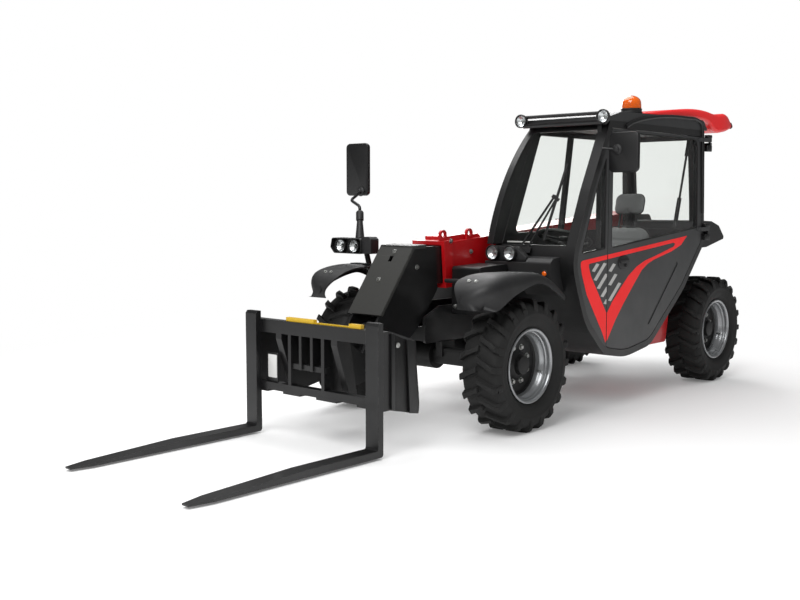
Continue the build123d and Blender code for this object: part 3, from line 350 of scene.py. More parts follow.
class Coat:
    """Every finish on the machine, by what it really is."""

    def __init__(self) -> None:
        """Build all the materials."""
        # two-pack enamel over primed steel: deep and glossy, with a soft orange peel and a paler painted
        # highlight along its edges
        self.red = Finish("sprayed_red_enamel", "#b8060f", "#a8050d", 0.34, coat=0.25,
                          edge_shading_colour="#c8343a").material()
        # the same red in the mould: gelcoat on the roof's glass-fibre tail, smoother, and brighter partly as
        # painted light that the tail's lit side catches
        self.red_gelcoat_with_painted_light = Finish("red_gelcoat_with_painted_light", "#f81117", "#f20f14", 0.34, grain_mm=14, coat=0.2).material()
        # powder coat on welded steel: near black, an even satin with a fine peel, and a grey painted highlight
        # along its edges
        self.black = Finish("black_powder_coat", "#0f0f10", "#0b0b0c", 0.42, grain_mm=6, coat=0.1,
                            edge_shading_colour="#2b2b2c").material()
        # tines: the same coat, with a pale painted highlight along the edges and soles
        self.tine = Finish("black_powder_coat_edge_highlight", "#121213", "#0d0d0e", 0.40, grain_mm=6, coat=0.1,
                           edge_shading_colour="#6b6a68").material()
        # anthracite enamel on the cab's skins: a quiet satin grey
        self.charcoal = Finish("anthracite_enamel", "#2f3031", "#2c2d2e", 0.42, coat=0.1).material()
        # slate enamel on the boom head's cover, one shade lighter, with a paler painted highlight along its edges
        self.slate = Finish("slate_enamel", "#323230", "#2e2e2c", 0.45, coat=0.1,
                            edge_shading_colour="#4c4c4a").material()
        # polypropylene from a textured mould: dull black with a pebbled skin
        self.plastic = Finish("moulded_polypropylene", "#1c1c1d", "#171718", 0.55, Grain.PEBBLE, grain_mm=5,
                              grain_depth_mm=0.25).material()
        # EPDM sealing profile: matt and dark
        self.seal = Finish("epdm_rubber_seal", "#0d0d0d", "#101010", 0.7, grain_mm=3,
                           grain_depth_mm=0.05).material()
        # vulcanised tread rubber: matt, faintly grey where it has weathered, with a grey painted highlight along
        # its edges; grain as coarse as shows
        self.rubber = Finish("vulcanised_tyre_rubber", "#0d0d0d", "#131312", 0.75, grain_mm=7,
                             grain_depth_mm=0.3, edge_mm=3.0, edge_shading_colour="#20201f").material()
        # aluminium-pigmented enamel on the wheels: a soft metallic grey
        self.silver = Finish("silver_wheel_enamel", "#a9abad", "#9c9ea0", 0.32, metallic=0.75, coat=0.3,
                             grain_mm=5).material()
        # cast iron under black chassis paint: rougher
        self.casting = Finish("painted_cast_iron", "#0c0c0c", "#090909", 0.55, grain_mm=9,
                              grain_depth_mm=0.5).material()
        # hard chrome, ground along the rod
        self.chrome = Finish("ground_hard_chrome", "#d4d6d8", "#c8cacc", 0.12, Grain.BRUSHED, grain_mm=2,
                             grain_depth_mm=0.01, metallic=1.0, edge_mm=1.0).material()
        # zinc-plated steel fasteners: pale, slightly blotched
        self.zinc = Finish("zinc_plated_steel", "#b4b5b2", "#9a9b98", 0.34, metallic=1.0, grain_mm=2,
                           patch_mm=8, edge_mm=0.8).material()
        # yellow enamel on the levers that a hand has to find, with a darker painted shade along its edges
        self.yellow = Finish("yellow_enamel", "#d8b01c", "#c9a014", 0.4, coat=0.2,
                             edge_shading_colour="#8f7414").material()
        # cast vinyl film: flat colour with a thin gloss
        self.red_film = Finish("red_vinyl_film", "#fd0d10", "#f80c0f", 0.55, grain_mm=20,
                               edge_mm=0.3).material()
        self.grey_film = Finish("pale_grey_vinyl_film", "#b9b9b7", "#b2b2b0", 0.4, grain_mm=20,
                                edge_mm=0.3).material()
        self.white_film = Finish("white_vinyl_film", "#d6d6d4", "#cfcfcd", 0.4, grain_mm=20,
                                 edge_mm=0.3).material()
        # knitted polyester on the seat: threads drawn three times their real 1 mm so that they show
        self.fabric = Finish("knitted_polyester", "#7c7d7e", "#737475", 0.85, Grain.WEAVE, grain_mm=3,
                             grain_depth_mm=0.5, sheen=0.4).material()
        # soft vinyl on the bolsters, steering wheel and grips
        self.vinyl = Finish("grained_soft_vinyl", "#252626", "#212222", 0.5, Grain.PEBBLE, grain_mm=4,
                            grain_depth_mm=0.3).material()
        # green-grey tinted safety glass, clear enough to see the seat
        self.glass = Pane("tinted_safety_glass", "#fcfdfc").material()
        # clear lamp lenses and the amber ones
        self.lens = Pane("clear_polycarbonate", "#f2f4f4", 0.03, 1.58).material()
        self.amber = Finish("amber_polycarbonate", "#e8650a", "#d85a06", 0.14, grain_mm=9, coat=0.8,
                            edge_mm=1.0).material()
        # vacuum-metallised reflector behind each lens, fluted
        self.reflector = Mirror("metallised_reflector", "#f4f5f6", 0.30, flute_mm=9).material()
        self.mirror = Mirror("silvered_mirror_glass", "#dfe3e5").material()


# ---------------------------------------------------------------- mesh helpers
def link_object(name: str, data: bpy.types.ID) -> bpy.types.Object:
    """Put a mesh, a light or a camera into the scene.

    Args:
        name: the object's name.
        data: what it shows.

    Returns:
        The object.
    """
    placed = bpy.data.objects.new(name, data)
    bpy.context.scene.collection.objects.link(placed)
    return placed


def to_mesh(name: str, bm: Mesh) -> bpy.types.Mesh:
    """Turn a bmesh into a mesh.

    Args:
        name: the mesh's name.
        bm: the bmesh; it is freed.

    Returns:
        The mesh.
    """
    mesh = bpy.data.meshes.new(name)
    bm.to_mesh(mesh)
    bm.free()
    return mesh


def finish_piece(
    name: str, bm: Mesh, body: str, material: Material, replaces: Sequence[str] = (),
    sharp_degrees: float = 32.0,
) -> bpy.types.Object:
    """Turn a bmesh into a piece that rides on a body.

    Args:
        name: the piece's name.
        bm: the mesh, in metres; it is freed.
        body: the body that it moves with.
        material: its finish.
        replaces: the CAD nodes that it stands for.
        sharp_degrees: edges that turn by more than this stay crisp.

    Returns:
        The piece.
    """
    bmesh.ops.remove_doubles(bm, verts=bm.verts, dist=1e-6)
    bmesh.ops.recalc_face_normals(bm, faces=bm.faces)
    mesh = to_mesh(name, bm)
    mesh.shade_smooth()
    mesh.set_sharp_from_angle(angle=math.radians(sharp_degrees))
    mesh.materials.append(material)
    piece = link_object(name, mesh)
    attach(piece, body)
    if replaces:
        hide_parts(*replaces)
    log.info("%s: %d faces on %s", name, len(mesh.polygons), body)
    return piece


def frame_to(start: Vector, towards: Vector) -> Matrix:
    """Place a shape built along +Z.

    Args:
        start: where its origin goes.
        towards: the direction that its +Z takes.

    Returns:
        The transform.
    """
    return Matrix.Translation(start) @ towards.to_track_quat("Z", "Y").to_matrix().to_4x4()


def add_turned(bm: Mesh, profile: Profile, place: Matrix, steps: int = 96, closed: bool = False) -> None:
    """Spin an (along, radius) profile, in millimetres, round the place's Z axis.

    Args:
        bm: the mesh to add to.
        profile: the outline's points.
        place: where the turned shape goes.
        steps: how many facets go round.
        closed: whether the last point joins the first.
    """
    verts = [bm.verts.new((r * MM, 0, h * MM)) for h, r in profile]
    pairs = list(zip(verts, verts[1:])) + ([(verts[-1], verts[0])] if closed else [])
    edges = [bm.edges.new(pair) for pair in pairs]
    bmesh.ops.spin(bm, geom=verts + edges, cent=(0, 0, 0), axis=(0, 0, 1), angle=math.tau, steps=steps,
                   use_merge=True, use_duplicate=False)
    moved = list({v for e in edges if e.is_valid for v in _island(e.verts[0])})
    bmesh.ops.remove_doubles(bm, verts=moved, dist=1e-7)
    moved = [v for v in moved if v.is_valid]
    bmesh.ops.transform(bm, matrix=place, verts=moved)


def _island(seed: bmesh.types.BMVert) -> set[bmesh.types.BMVert]:
    """Return every vertex that edges join to the seed."""
    seen, waiting = {seed}, [seed]
    while waiting:
        for edge in waiting.pop().link_edges:
            for vert in edge.verts:
                if vert not in seen:
                    seen.add(vert)
                    waiting.append(vert)
    return seen


def add_prism(
    bm: Mesh, corners: Sequence[Vector], direction: Vector, depth_mm: float, bevel_mm: float = 0.0,
) -> None:
    """Raise a flat outline into a plate.

    Args:
        bm: the mesh to add to.
        corners: the outline's corners, in metres.
        direction: the way that it rises.
        depth_mm: how far.
        bevel_mm: the chamfer on all its edges, or 0.
    """
    face = bm.faces.new([bm.verts.new(corner) for corner in corners])
    raised = bmesh.ops.extrude_face_region(bm, geom=[face])["geom"]
    top = [v for v in raised if isinstance(v, bmesh.types.BMVert)]
    bmesh.ops.translate(bm, verts=top, vec=direction.normalized() * depth_mm * MM)
    if bevel_mm:
        solid = _island(top[0])
        bmesh.ops.recalc_face_normals(bm, faces=list({f for v in solid for f in v.link_faces}))
        # a rounded corner's own facets stay as they are
        edges = list({e for v in solid for e in v.link_edges if e.calc_face_angle(0) > CRISP})
        bmesh.ops.bevel(bm, geom=edges, offset=bevel_mm * MM, segments=2, profile=0.5, affect="EDGES",
                        material=-1)


def add_bolt(bm: Mesh, seat: Vector, out: Vector, across_mm: float = 17.0) -> None:
    """Add a hexagon head with its washer.

    Args:
        bm: the mesh to add to.
        seat: the middle of the washer's underside.
        out: the direction that the head stands in.
        across_mm: the head's width over its corners.
    """
    place = frame_to(seat, out)
    for radius, low, high, sides in ((0.72, 0.0, 0.1, 20), (0.5, 0.1, 0.5, 6)):
        height = (high - low) * across_mm * MM
        ring = bmesh.ops.create_cone(
            bm, cap_ends=True, segments=sides, radius1=radius * across_mm * MM,
            radius2=radius * across_mm * MM, depth=height,
            matrix=place @ Matrix.Translation((0, 0, (low * across_mm * MM) + height / 2)))["verts"]
        near_top = (low * across_mm * MM) + height * 0.9
        rim = [e for v in ring for e in v.link_edges
               if all((place.inverted() @ w.co).z > near_top for w in e.verts)]
        bmesh.ops.bevel(bm, geom=list(set(rim)), offset=0.06 * across_mm * MM, segments=1, profile=0.5,
                        affect="EDGES", material=-1)


def add_pipe(bm: Mesh, route: Sequence[Vector], radius_mm: float, bend_mm: float = 40.0,
             closed: bool = False, flowing: bool = False) -> None:
    """Add a bent tube or bar along a route of straight runs.

    Args:
        bm: the mesh to add to.
        route: its corners, in metres.
        radius_mm: its radius.
        bend_mm: the radius of its bends.
        closed: whether the last corner joins the first, with no more bends than the route has.
        flowing: whether it curves smoothly through its corners.
    """
    curve = bpy.data.curves.new("route", "CURVE")
    curve.dimensions = "3D"
    curve.bevel_depth = radius_mm * MM
    curve.bevel_resolution = 4
    curve.resolution_u = 6
    curve.use_fill_caps = True
    points: list[tuple[Vector, Vector, Vector]] = []
    for index, corner in enumerate(route):
        if 0 < index < len(route) - 1 and not closed and not flowing:
            back, ahead = route[index - 1] - corner, route[index + 1] - corner
            reach = min(bend_mm * MM, back.length * 0.45, ahead.length * 0.45)
            entry, leave = corner + back.normalized() * reach, corner + ahead.normalized() * reach
            points += [(entry, entry, entry.lerp(corner, 0.55)), (leave, leave.lerp(corner, 0.55), leave)]
        else:
            points.append((corner, corner, corner))
    path = curve.splines.new("BEZIER")
    path.bezier_points.add(len(points) - 1)
    for bezier, (co, left, right) in zip(path.bezier_points, points):
        bezier.handle_left_type = bezier.handle_right_type = "FREE"
        bezier.co, bezier.handle_left, bezier.handle_right = co, left, right
    path.use_cyclic_u = closed
    if closed or flowing:
        for bezier in path.bezier_points:
            bezier.handle_left_type = bezier.handle_right_type = "AUTO"
    holder = bpy.data.objects.new("route", curve)
    mesh = bpy.data.meshes.new_from_object(holder)
    bm.from_mesh(mesh)
    bpy.data.objects.remove(holder)
    bpy.data.curves.remove(curve)
    bpy.data.meshes.remove(mesh)


@dataclass
class Trim:
    """What is fixed to the machine, in the finishes that it has most."""

    coat: Coat

    def moulded(self, name: str, bm: Mesh, *replaces: str) -> None:
        """Finish a piece of the chassis in moulded plastic."""
        finish_piece(name, bm, "chassis", self.coat.plastic, replaces)

    def blackened(self, name: str, bm: Mesh, body: str) -> None:
        """Finish a piece in the black powder coat."""
        finish_piece(name, bm, body, self.coat.black)

    def plated(self, name: str, bm: Mesh, body: str) -> None:
        """Finish a piece in bright zinc."""
        finish_piece(name, bm, body, self.coat.zinc)


# ---------------------------------------------------------------- wheels
@dataclass
class Wheel:
    """One steered wheel: a traction tyre with chevron lugs, on a deep dished steel rim."""

    corner: str
    coat: Coat
    radius: float = 388.0
    half_width: float = 132.0
    lug_pairs: int = 20
    lug_lead: float = 54.0
    lug_root: float = 335.0
    lug_bevel: float = 3.5
    bead: float = 207.0
    nuts: int = 8
    nut_circle: float = 105.0
    stem_circle: float = 168.0

    def __post_init__(self) -> None:
        """Find the wheel's side and its place in the frame."""
        low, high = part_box(f"tyre_{self.corner}")
        self.side = 1 if self.corner.endswith("left") else -1
        centre = (low + high) / 2
        centre.z = self.radius * MM
        turn = Matrix.Rotation(math.radians(90 * self.side), 4, "Y")
        self.place = Matrix.Translation(centre) @ turn
        self.body = f"wheel_{self.corner}"

    def carcass_profile(self) -> Outline:
        """Return the tyre's closed (across, radius) section, with the moulded ribs on its walls."""
        wall = [(58, 363), (92, 361), (112, 354), (122, 342), (128, 326), (130.5, 312), (132, 308),
                (132, 300), (130, 296), (129, 280), (125, 262), (119, 246), (117, 243), (112, 236),
                (104, 229), (101, 222), (98, 214), (98, self.bead)]
        return [(0, 363.5)] + wall + [(0, self.bead - 2)] + [(-x, r) for x, r in reversed(wall)]

    def add_lug(self, bm: Mesh, hand: int, turn: float) -> None:
        """Add one drafted lug, from the tread's middle out over the shoulder.

        Args:
            bm: the tyre's mesh.
            hand: 1 or -1, the half of the tread.
            turn: its angle round the wheel.
        """
        # (across, trailing edge, leading edge, height) at stations along the lug
        stations = [(-3, -37, -5, 387.5), (30, -20, 11, 388), (70, -4, 30, 388), (108, 14, 52, 386.5),
                    (121, 18, 56, 375), (130, 20, 58, 352), (131.8, 22, 59, 326)]
        rings = []
        for across, trail, lead, top in stations:
            foot = min(self.lug_root, top - 24)
            ring = [(across, trail - 5, foot), (across, lead + 5, foot), (across, lead, top),
                    (across, trail, top)]
            rings.append([Vector((x * hand, y, r)) for x, y, r in ring])
        face = bm.faces.new([bm.verts.new(p) for p in rings[0]])
        first = face.verts[0]
        for last, ring in zip(rings, rings[1:]):
            grown = bmesh.ops.extrude_face_region(bm, geom=[face])["geom"]
            face = next(g for g in grown if isinstance(g, bmesh.types.BMFace))
            for vert in face.verts:
                index = min(range(4), key=lambda i: (last[i] - vert.co).length)
                vert.co = ring[index]
        every = _island(first)
        crisp = [e for v in every for e in v.link_edges if min(w.co.z for w in e.verts) > self.lug_root + 1
                 and e.calc_face_angle(0) > math.radians(40)]
        bmesh.ops.bevel(bm, geom=list(set(crisp)), offset=self.lug_bevel, segments=2, profile=0.5,
                        affect="EDGES", clamp_overlap=True, material=-1)
        seed = min(bm.verts, key=lambda v: (v.co - rings[0][0]).length)
        for vert in _island(seed):
            x, y, r = vert.co
            angle = y / self.radius + turn
            drop = min(r, self.radius)
            vert.co = (drop * math.cos(angle) * MM, drop * math.sin(angle) * MM, x * MM)

    def build_tyre(self) -> None:
        """Spin the carcass, set the lugs round it and let the tyre stand for the CAD one."""
        bm = bmesh.new()
        lugs = bmesh.new()
        self.add_lug(lugs, 1, 0.0)
        other = bmesh.new()
        self.add_lug(other, -1, 0.0)
        pitch = math.tau / self.lug_pairs
        start = math.atan2(-self.lug_lead, math.sqrt(self.radius**2 - self.lug_lead**2))
        for source, phase in ((lugs, 0.0), (other, 0.5)):
            mesh = to_mesh("lug", source)
            for index in range(self.lug_pairs):
                before = len(bm.verts)
                bm.from_mesh(mesh)
                bm.verts.ensure_lookup_table()
                bmesh.ops.rotate(bm, verts=bm.verts[before:], cent=(0, 0, 0),
                                 matrix=Matrix.Rotation(start + pitch * (index + phase), 3, "Z"))
            bpy.data.meshes.remove(mesh)
        add_turned(bm, self.carcass_profile(), Matrix.Identity(4), steps=120, closed=True)
        bmesh.ops.transform(bm, matrix=self.place, verts=bm.verts)
        finish_piece(f"tyre_{self.corner}_tread", bm, self.body, self.coat.rubber,
                     (f"tyre_{self.corner}",))

    def build_rim(self) -> None:
        """Spin the bright rim band and the dark disc, with its hub cap and wheel nuts."""
        band = [(112, 212), (110, 217), (105, 219), (101, 215), (100, 207), (60, 205), (40, 187), (-40, 187),
                (-60, 205), (-100, 207), (-101, 215), (-105, 219), (-110, 217), (-112, 212), (-110, 202),
                (-98, 198), (-64, 195), (-44, 178), (40, 178), (50, 183), (62, 193), (76, 195), (80, 201),
                (88, 203), (92, 199), (100, 199), (108, 203)]
        bm = bmesh.new()
        add_turned(bm, band, self.place, steps=120, closed=True)
        finish_piece(f"rim_{self.corner}_band", bm, self.body, self.coat.silver,
                     (f"rim_{self.corner}",))
        disc = [(62, 0), (62, 46), (59, 54), (34, 60), (30, 70), (14, 84), (8, 92), (8, 128), (12, 150),
                (6, 170), (18, 179), (8, 181), (-4, 172), (0, 150), (-4, 128), (-4, 92), (-20, 80), (-60, 76),
                (-60, 0)]
        bm = bmesh.new()
        add_turned(bm, disc, self.place, steps=96)
        # the disc takes the near-black cast finish, far darker than the bright band
        finish_piece(f"disc_{self.corner}", bm, self.body, self.coat.casting)
        bm = bmesh.new()
        for index in range(self.nuts):
            angle = math.tau * (index + 0.5) / self.nuts
            seat = self.place @ Vector((self.nut_circle * math.cos(angle) * MM,
                                        self.nut_circle * math.sin(angle) * MM, 8 * MM))
            add_bolt(bm, seat, self.place.to_3x3() @ UP, 26)
        # valve stem in the band's well
        stem = [(38, 0), (38, 5), (58, 5), (60, 3.5), (74, 3.5), (74, 0)]
        angle = math.radians(72)
        reach = self.stem_circle * MM
        add_turned(bm, stem, self.place @ Matrix.Translation((reach * math.cos(angle),
                                                              reach * math.sin(angle), 0)), steps=12)
        finish_piece(f"nuts_{self.corner}", bm, self.body, self.coat.zinc)

    def build(self) -> None:
        """Build the whole wheel."""
        self.build_tyre()
        self.build_rim()


# ---------------------------------------------------------------- the cab's graphic and glazing trim
@dataclass
class DoorGraphic(Trim):
    """The red wedge outline and slanted pale bars across the quarter panel and the door, in cut film."""

    film_mm: float = 0.6
    seam_front: float = 850.0
    seam_rear: float = 856.0

    def outer(self) -> Outline:
        """Return the wedge's outer (y, z) outline, round from its front top corner."""
        return [(543, 962), (560, 971), (1925, 1091), (1838, 1030), (1700, 989), (1462, 944), (1369, 919),
                (1289, 878), (1192, 793), (1054, 667), (960, 571), (868, 455), (843, 440), (800, 511),
                (712, 627), (613, 759), (556, 884), (540, 940)]

    def inner(self) -> Outline:
        """Return the wedge's inner (y, z) outline, round from its front top corner."""
        return [(633, 946), (648, 950), (1725, 1048), (1752, 1038), (1726, 1020), (1528, 978), (1332, 940),
                (1226, 906), (1118, 851), (1009, 767), (915, 690), (853, 622), (745, 762), (661, 868),
                (634, 925)]

    def bars(self) -> list[Outline]:
        """Return the slanted bars' (y, z) corners, in two columns each side of the seam."""
        lean, width = (118, 102), 34
        # (foot y, foot z, share of a full bar)
        feet = [(668, 902, 0.45), (690, 846, 1.0), (729, 792, 0.85), (776, 738, 0.55), (812, 690, 0.25),
                (868, 893, 0.45), (866, 806, 0.65), (868, 706, 1.05)]
        shapes = []
        for y, z, share in feet:
            top_y, top_z = y + lean[0] * share, z + lean[1] * share
            shapes.append([(y, z), (y + width, z - width * 0.22), (top_y + width, top_z - width * 0.22),
                           (top_y, top_z)])
        return shapes

    def cut(self, name: str, outlines: list[Outline], body: str, slot: str,
            material: Material) -> None:
        """Lay film on one side of the seam.

        Args:
            name: the piece's name.
            outlines: the film's (y, z) outline, and any hole's after it, or separate bars.
            body: "door" behind the seam, "chassis" ahead of it.
            slot: the material slot; not used.
            material: the film.
        """
        bm = bmesh.new()
        skin = DOOR_OUTER + 0.15
        behind = body == "door"
        cut_y = self.seam_rear + 2 if behind else self.seam_front - 2
        for outline in outlines:
            verts = [bm.verts.new(at(skin, y, z)) for y, z in outline]
            for pair in zip(verts, verts[1:] + verts[:1]):
                bm.edges.new(pair)
        bmesh.ops.triangle_fill(bm, edges=bm.edges[:], use_beauty=True, use_dissolve=False)
        bmesh.ops.bisect_plane(bm, geom=bm.verts[:] + bm.edges[:] + bm.faces[:], plane_co=at(0, cut_y, 0),
                               plane_no=(0, -1 if behind else 1, 0), clear_outer=True)
        raised = bmesh.ops.extrude_face_region(bm, geom=bm.faces[:])["geom"]
        bmesh.ops.translate(bm, verts=[v for v in raised if isinstance(v, bmesh.types.BMVert)],
                            vec=(self.film_mm * MM, 0, 0))
        finish_piece(name, bm, body, material)

    def build(self) -> None:
        """Lay the wedge and the bars on both sides of the seam."""
        for body, word in (("chassis", "front"), ("door", "rear")):
            self.cut(f"wedge_film_{word}", [self.outer(), self.inner()], body, "red_paint",
                     self.coat.red_film)
            side = [bar for bar in self.bars() if (bar[0][0] > self.seam_rear) == (body == "door")]
            self.cut(f"bar_film_{word}", side, body, "silver_paint", self.coat.grey_film)


# ---------------------------------------------------------------- lamps, fenders and what the cab carries
@dataclass
class Lamp:
    """One round lamp: moulded shell and bezel, fluted reflector, shielded bulb and a domed clear lens."""

    middle: Point
    radius: float
    shell_mm: float = 46.0
    facing: Point = (0.0, -1.0, 0.0)

    def add_to(self, shells: Mesh, bowls: Mesh, bulbs: Mesh,
               lenses: Mesh) -> None:
        """Add the lamp's four layers to the meshes that hold each.

        Args:
            shells: moulded shells and bezels.
            bowls: reflectors.
            bulbs: bulbs with their shields.
            lenses: clear lenses.
        """
        place = frame_to(at(*self.middle), Vector(self.facing))
        r, deep = self.radius, self.shell_mm
        add_turned(shells, [(-deep, 0), (-deep, r * 0.45), (-deep * 0.8, r * 0.8), (-deep * 0.35, r + 2),
                            (-2, r + 4), (3, r + 3.5), (4.5, r + 1.5), (4, r - 1), (-3, r - 2.5), (-5, r - 4),
                            (-deep + 8, r * 0.3), (-deep + 8, 0)], place, steps=56)
        add_turned(bowls, [(-4, r - 3), (-10, r * 0.80), (-18, r * 0.60), (-24, r * 0.38), (-27, r * 0.16),
                           (-27, 0)], place, steps=56)
        add_turned(bulbs, [(-27, 0), (-27, r * 0.15), (-12, r * 0.15), (-8, r * 0.13), (-6.5, r * 0.07),
                           (-6.5, 0)], place, steps=24)
        add_turned(lenses, [(-3, r - 2), (0.5, r * 0.88), (3.5, r * 0.62), (5.5, r * 0.3), (6, 0)], place,
                   steps=56)


@dataclass
class LampGroup(Trim):
    """A pair of lamps with what carries them."""

    name: str
    lamps: list[Lamp]

    def build(self, carrier: Mesh, replaces: Sequence[str] = ()) -> None:
        """Build the pair.

        Args:
            carrier: the housing's mesh, which the lamps' shells join.
            replaces: the CAD node that the group stands for.
        """
        bowls, bulbs, lenses = bmesh.new(), bmesh.new(), bmesh.new()
        for lamp in self.lamps:
            lamp.add_to(carrier, bowls, bulbs, lenses)
        self.moulded(f"{self.name}_housing", carrier, *replaces)
        finish_piece(f"{self.name}_reflectors", bowls, "chassis", self.coat.reflector)
        self.plated(f"{self.name}_bulbs", bulbs, "chassis")
        finish_piece(f"{self.name}_lenses", lenses, "chassis", self.coat.lens)


def rounded(outline: Sequence[Point], steps: int = 7) -> Outline:
    """Round an outline's corners.

    Args:
        outline: (u, v, corner radius) rows, in order round the shape.
        steps: how many points stand for each rounded corner.

    Returns:
        The (u, v) points of the rounded outline.
    """
    points: Outline = []
    for index, (u, v, radius) in enumerate(outline):
        corner = Vector((u, v))
        back = (Vector(outline[index - 1][:2]) - corner).normalized()
        ahead = (Vector(outline[(index + 1) % len(outline)][:2]) - corner).normalized()
        half = back.angle(ahead) / 2
        if not radius or math.sin(half) > 0.999:
            points.append((u, v))
            continue
        centre = corner + (back + ahead).normalized() * (radius / math.sin(half))
        start = corner + back * (radius / math.tan(half)) - centre
        end = corner + ahead * (radius / math.tan(half)) - centre
        for step in range(steps):
            arm = start.lerp(end, step / (steps - 1)).normalized() * radius
            points.append(tuple(centre + arm))
    return points


def rounded_box(u0: float, v0: float, u1: float, v1: float, radius: float, far_radius: float | None = None,
                steps: int = 7) -> Outline:
    """Return a rectangle's outline with rounded corners.

    Args:
        u0: its first edge.
        v0: its near edge.
        u1: its second edge.
        v1: its far edge.
        radius: the near corners' radius.
        far_radius: the far corners', where it differs.
        steps: how many points stand for each corner.

    Returns:
        The (u, v) points.
    """
    far = radius if far_radius is None else far_radius
    return rounded([(u0, v0, radius), (u1, v0, radius), (u1, v1, far), (u0, v1, far)], steps)


def add_loft(bm: Mesh, rings: Sequence[Sequence[Vector]]) -> None:
    """Skin a row of closed rings and close both ends.

    Args:
        bm: the mesh to add to.
        rings: the rings, each with the same number of points, in metres.
    """
    rows = [[bm.verts.new(point) for point in ring] for ring in rings]
    count = len(rows[0])
    for low, high in zip(rows, rows[1:]):
        for index in range(count):
            after = (index + 1) % count
            bm.faces.new((low[index], low[after], high[after], high[index]))
    bm.faces.new(rows[0])
    bm.faces.new(rows[-1])


def spline(points: Profile, steps: int = 5) -> list[Vector]:
    """Draw a smooth curve through points.

    Args:
        points: the points.
        steps: how many pieces each span is cut into.

    Returns:
        The curve's points.
    """
    rows = [Vector(p) for p in points]
    curve: list[Vector] = []
    for index in range(len(rows) - 1):
        before, start = rows[max(index - 1, 0)], rows[index]
        end, after = rows[index + 1], rows[min(index + 2, len(rows) - 1)]
        for step in range(steps):
            t = step / steps
            curve.append(0.5 * (2 * start + (end - before) * t + (2 * before - 5 * start + 4 * end - after) * t**2
                                + (3 * start - before - 3 * end + after) * t**3))
    return curve + [rows[-1]]


@dataclass
class Fender(Trim):
    """A front mudguard: one moulded shell with a broad rolled shoulder, on its steel bracket."""

    side: str
    outer: float = 735.0
    shoulder: float = 78.0
    sheet: float = 9.0
    inner_edge: float = 455.0
    nose_y: float = -346.0
    nose_radius: float = 118.0

    # (y, z) down the middle of the skin and along the outer lip, nose to tail
    skin = [(-452, 736), (-455, 772), (-447, 812), (-420, 853), (-366, 892), (-282, 917), (-170, 929),
            (-60, 929.5), (50, 924), (140, 902), (230, 862), (295, 816), (334, 784)]
    lip = [(-398, 731), (-374, 730), (-348, 733), (-318, 743), (-275, 765), (-214, 795), (-138, 823),
           (-50, 848), (45, 862), (120, 847), (200, 811), (262, 777), (314, 748)]

    def reach(self, y: float) -> float:
        """Return how far out the shell stands at a place along it."""
        return self.outer - self.nose_radius + self.bow(y)

    def bow(self, y: float) -> float:
        """Return how much of the nose's rounding is left at a place along the shell."""
        ahead = min(max(self.nose_y - y, 0.0), self.nose_radius * 0.98)
        return math.sqrt(self.nose_radius**2 - ahead**2)

    def ring(self, top: Vector, low: Vector, hand: int, inner: float) -> list[Vector]:
        """Return one section across the shell.

        Args:
            top: the skin's (y, z).
            low: the lip's (y, z).
            hand: 1 on the left, -1 on the right.
            inner: the shell's inner edge.

        Returns:
            The ring, outside then inside.
        """
        down = (low - top).normalized()
        depth = (low - top).length
        turn = min(self.shoulder, depth * 0.8)
        top_reach, low_reach = self.reach(top.x), self.reach(low.x)
        inner += self.nose_radius - self.bow(top.x)
        rows: Outline = [(inner, 10.0), (inner + (top_reach - inner) * 0.3, 3.0),
                                           (top_reach - turn * 1.5, 0.0)]
        for step in range(9):
            angle = math.pi / 2 * step / 8
            rows.append((top_reach - turn * (1 - math.sin(angle)), turn * (1 - math.cos(angle))))
        rows.append((low_reach + 0.2, depth))
        inside = [(x - self.sheet, min(d + (self.sheet if d < turn else 0.0), depth))
                  for x, d in reversed(rows[2:])]
        inside += [(inner, 10.0 + self.sheet)]
        points = []
        for x, d in rows + inside:
            flat = top + down * d
            points.append(at(x * hand, flat.x, flat.y))
        return points

    def build(self) -> None:
        """Build the shell, its bracket and its bolts."""
        hand = 1 if self.side == "left" else -1
        node = f"front_fender_{self.side}"
        low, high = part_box(node)
        inner = self.inner_edge
        bm = bmesh.new()
        rings = [self.ring(top, edge, hand, inner)
                 for top, edge in zip(spline(self.skin, 4), spline(self.lip, 4))]
        add_loft(bm, rings)
        plate = (low.x if hand > 0 else high.x) / MM
        add_pipe(bm, [at((inner + 110) * hand, -10, 906), at((inner + 60) * hand, -10, 862),
                      at(plate, -10, 850)], 13)
        finish_piece(node + "_shell", bm, "chassis", self.coat.plastic, (node,),
                     sharp_degrees=50)
        bolts = bmesh.new()
        for x in (548, 598):
            add_bolt(bolts, at(x * hand, -366, 891), Vector((0, -0.42, 0.9)), 17)
        self.plated(node + "_bolts", bolts, "chassis")


def add_plate(bm: Mesh, outline: Profile, plane: str, level: float,
              depth_mm: float, bevel_mm: float = 1.5) -> None:
    """Raise an outline drawn on a plane square to the machine.

    Args:
        bm: the mesh to add to.
        outline: the (u, v) corners.
        plane: "xz" for one facing forwards, "yz" sideways, "xy" upwards.
        level: the plane's place along its own axis.
        depth_mm: how far it rises, ahead of the plane where negative.
        bevel_mm: the chamfer on its edges.
    """
    place = {"xz": lambda u, v: at(u, level, v), "yz": lambda u, v: at(level, u, v),
             "xy": lambda u, v: at(u, v, level)}
    rise = {"xz": Vector((0, 1, 0)), "yz": LEFT, "xy": UP}[plane]
    corners = [place[plane](u, v) for u, v in outline]
    add_prism(bm, corners, rise if depth_mm > 0 else -rise, abs(depth_mm), bevel_mm)


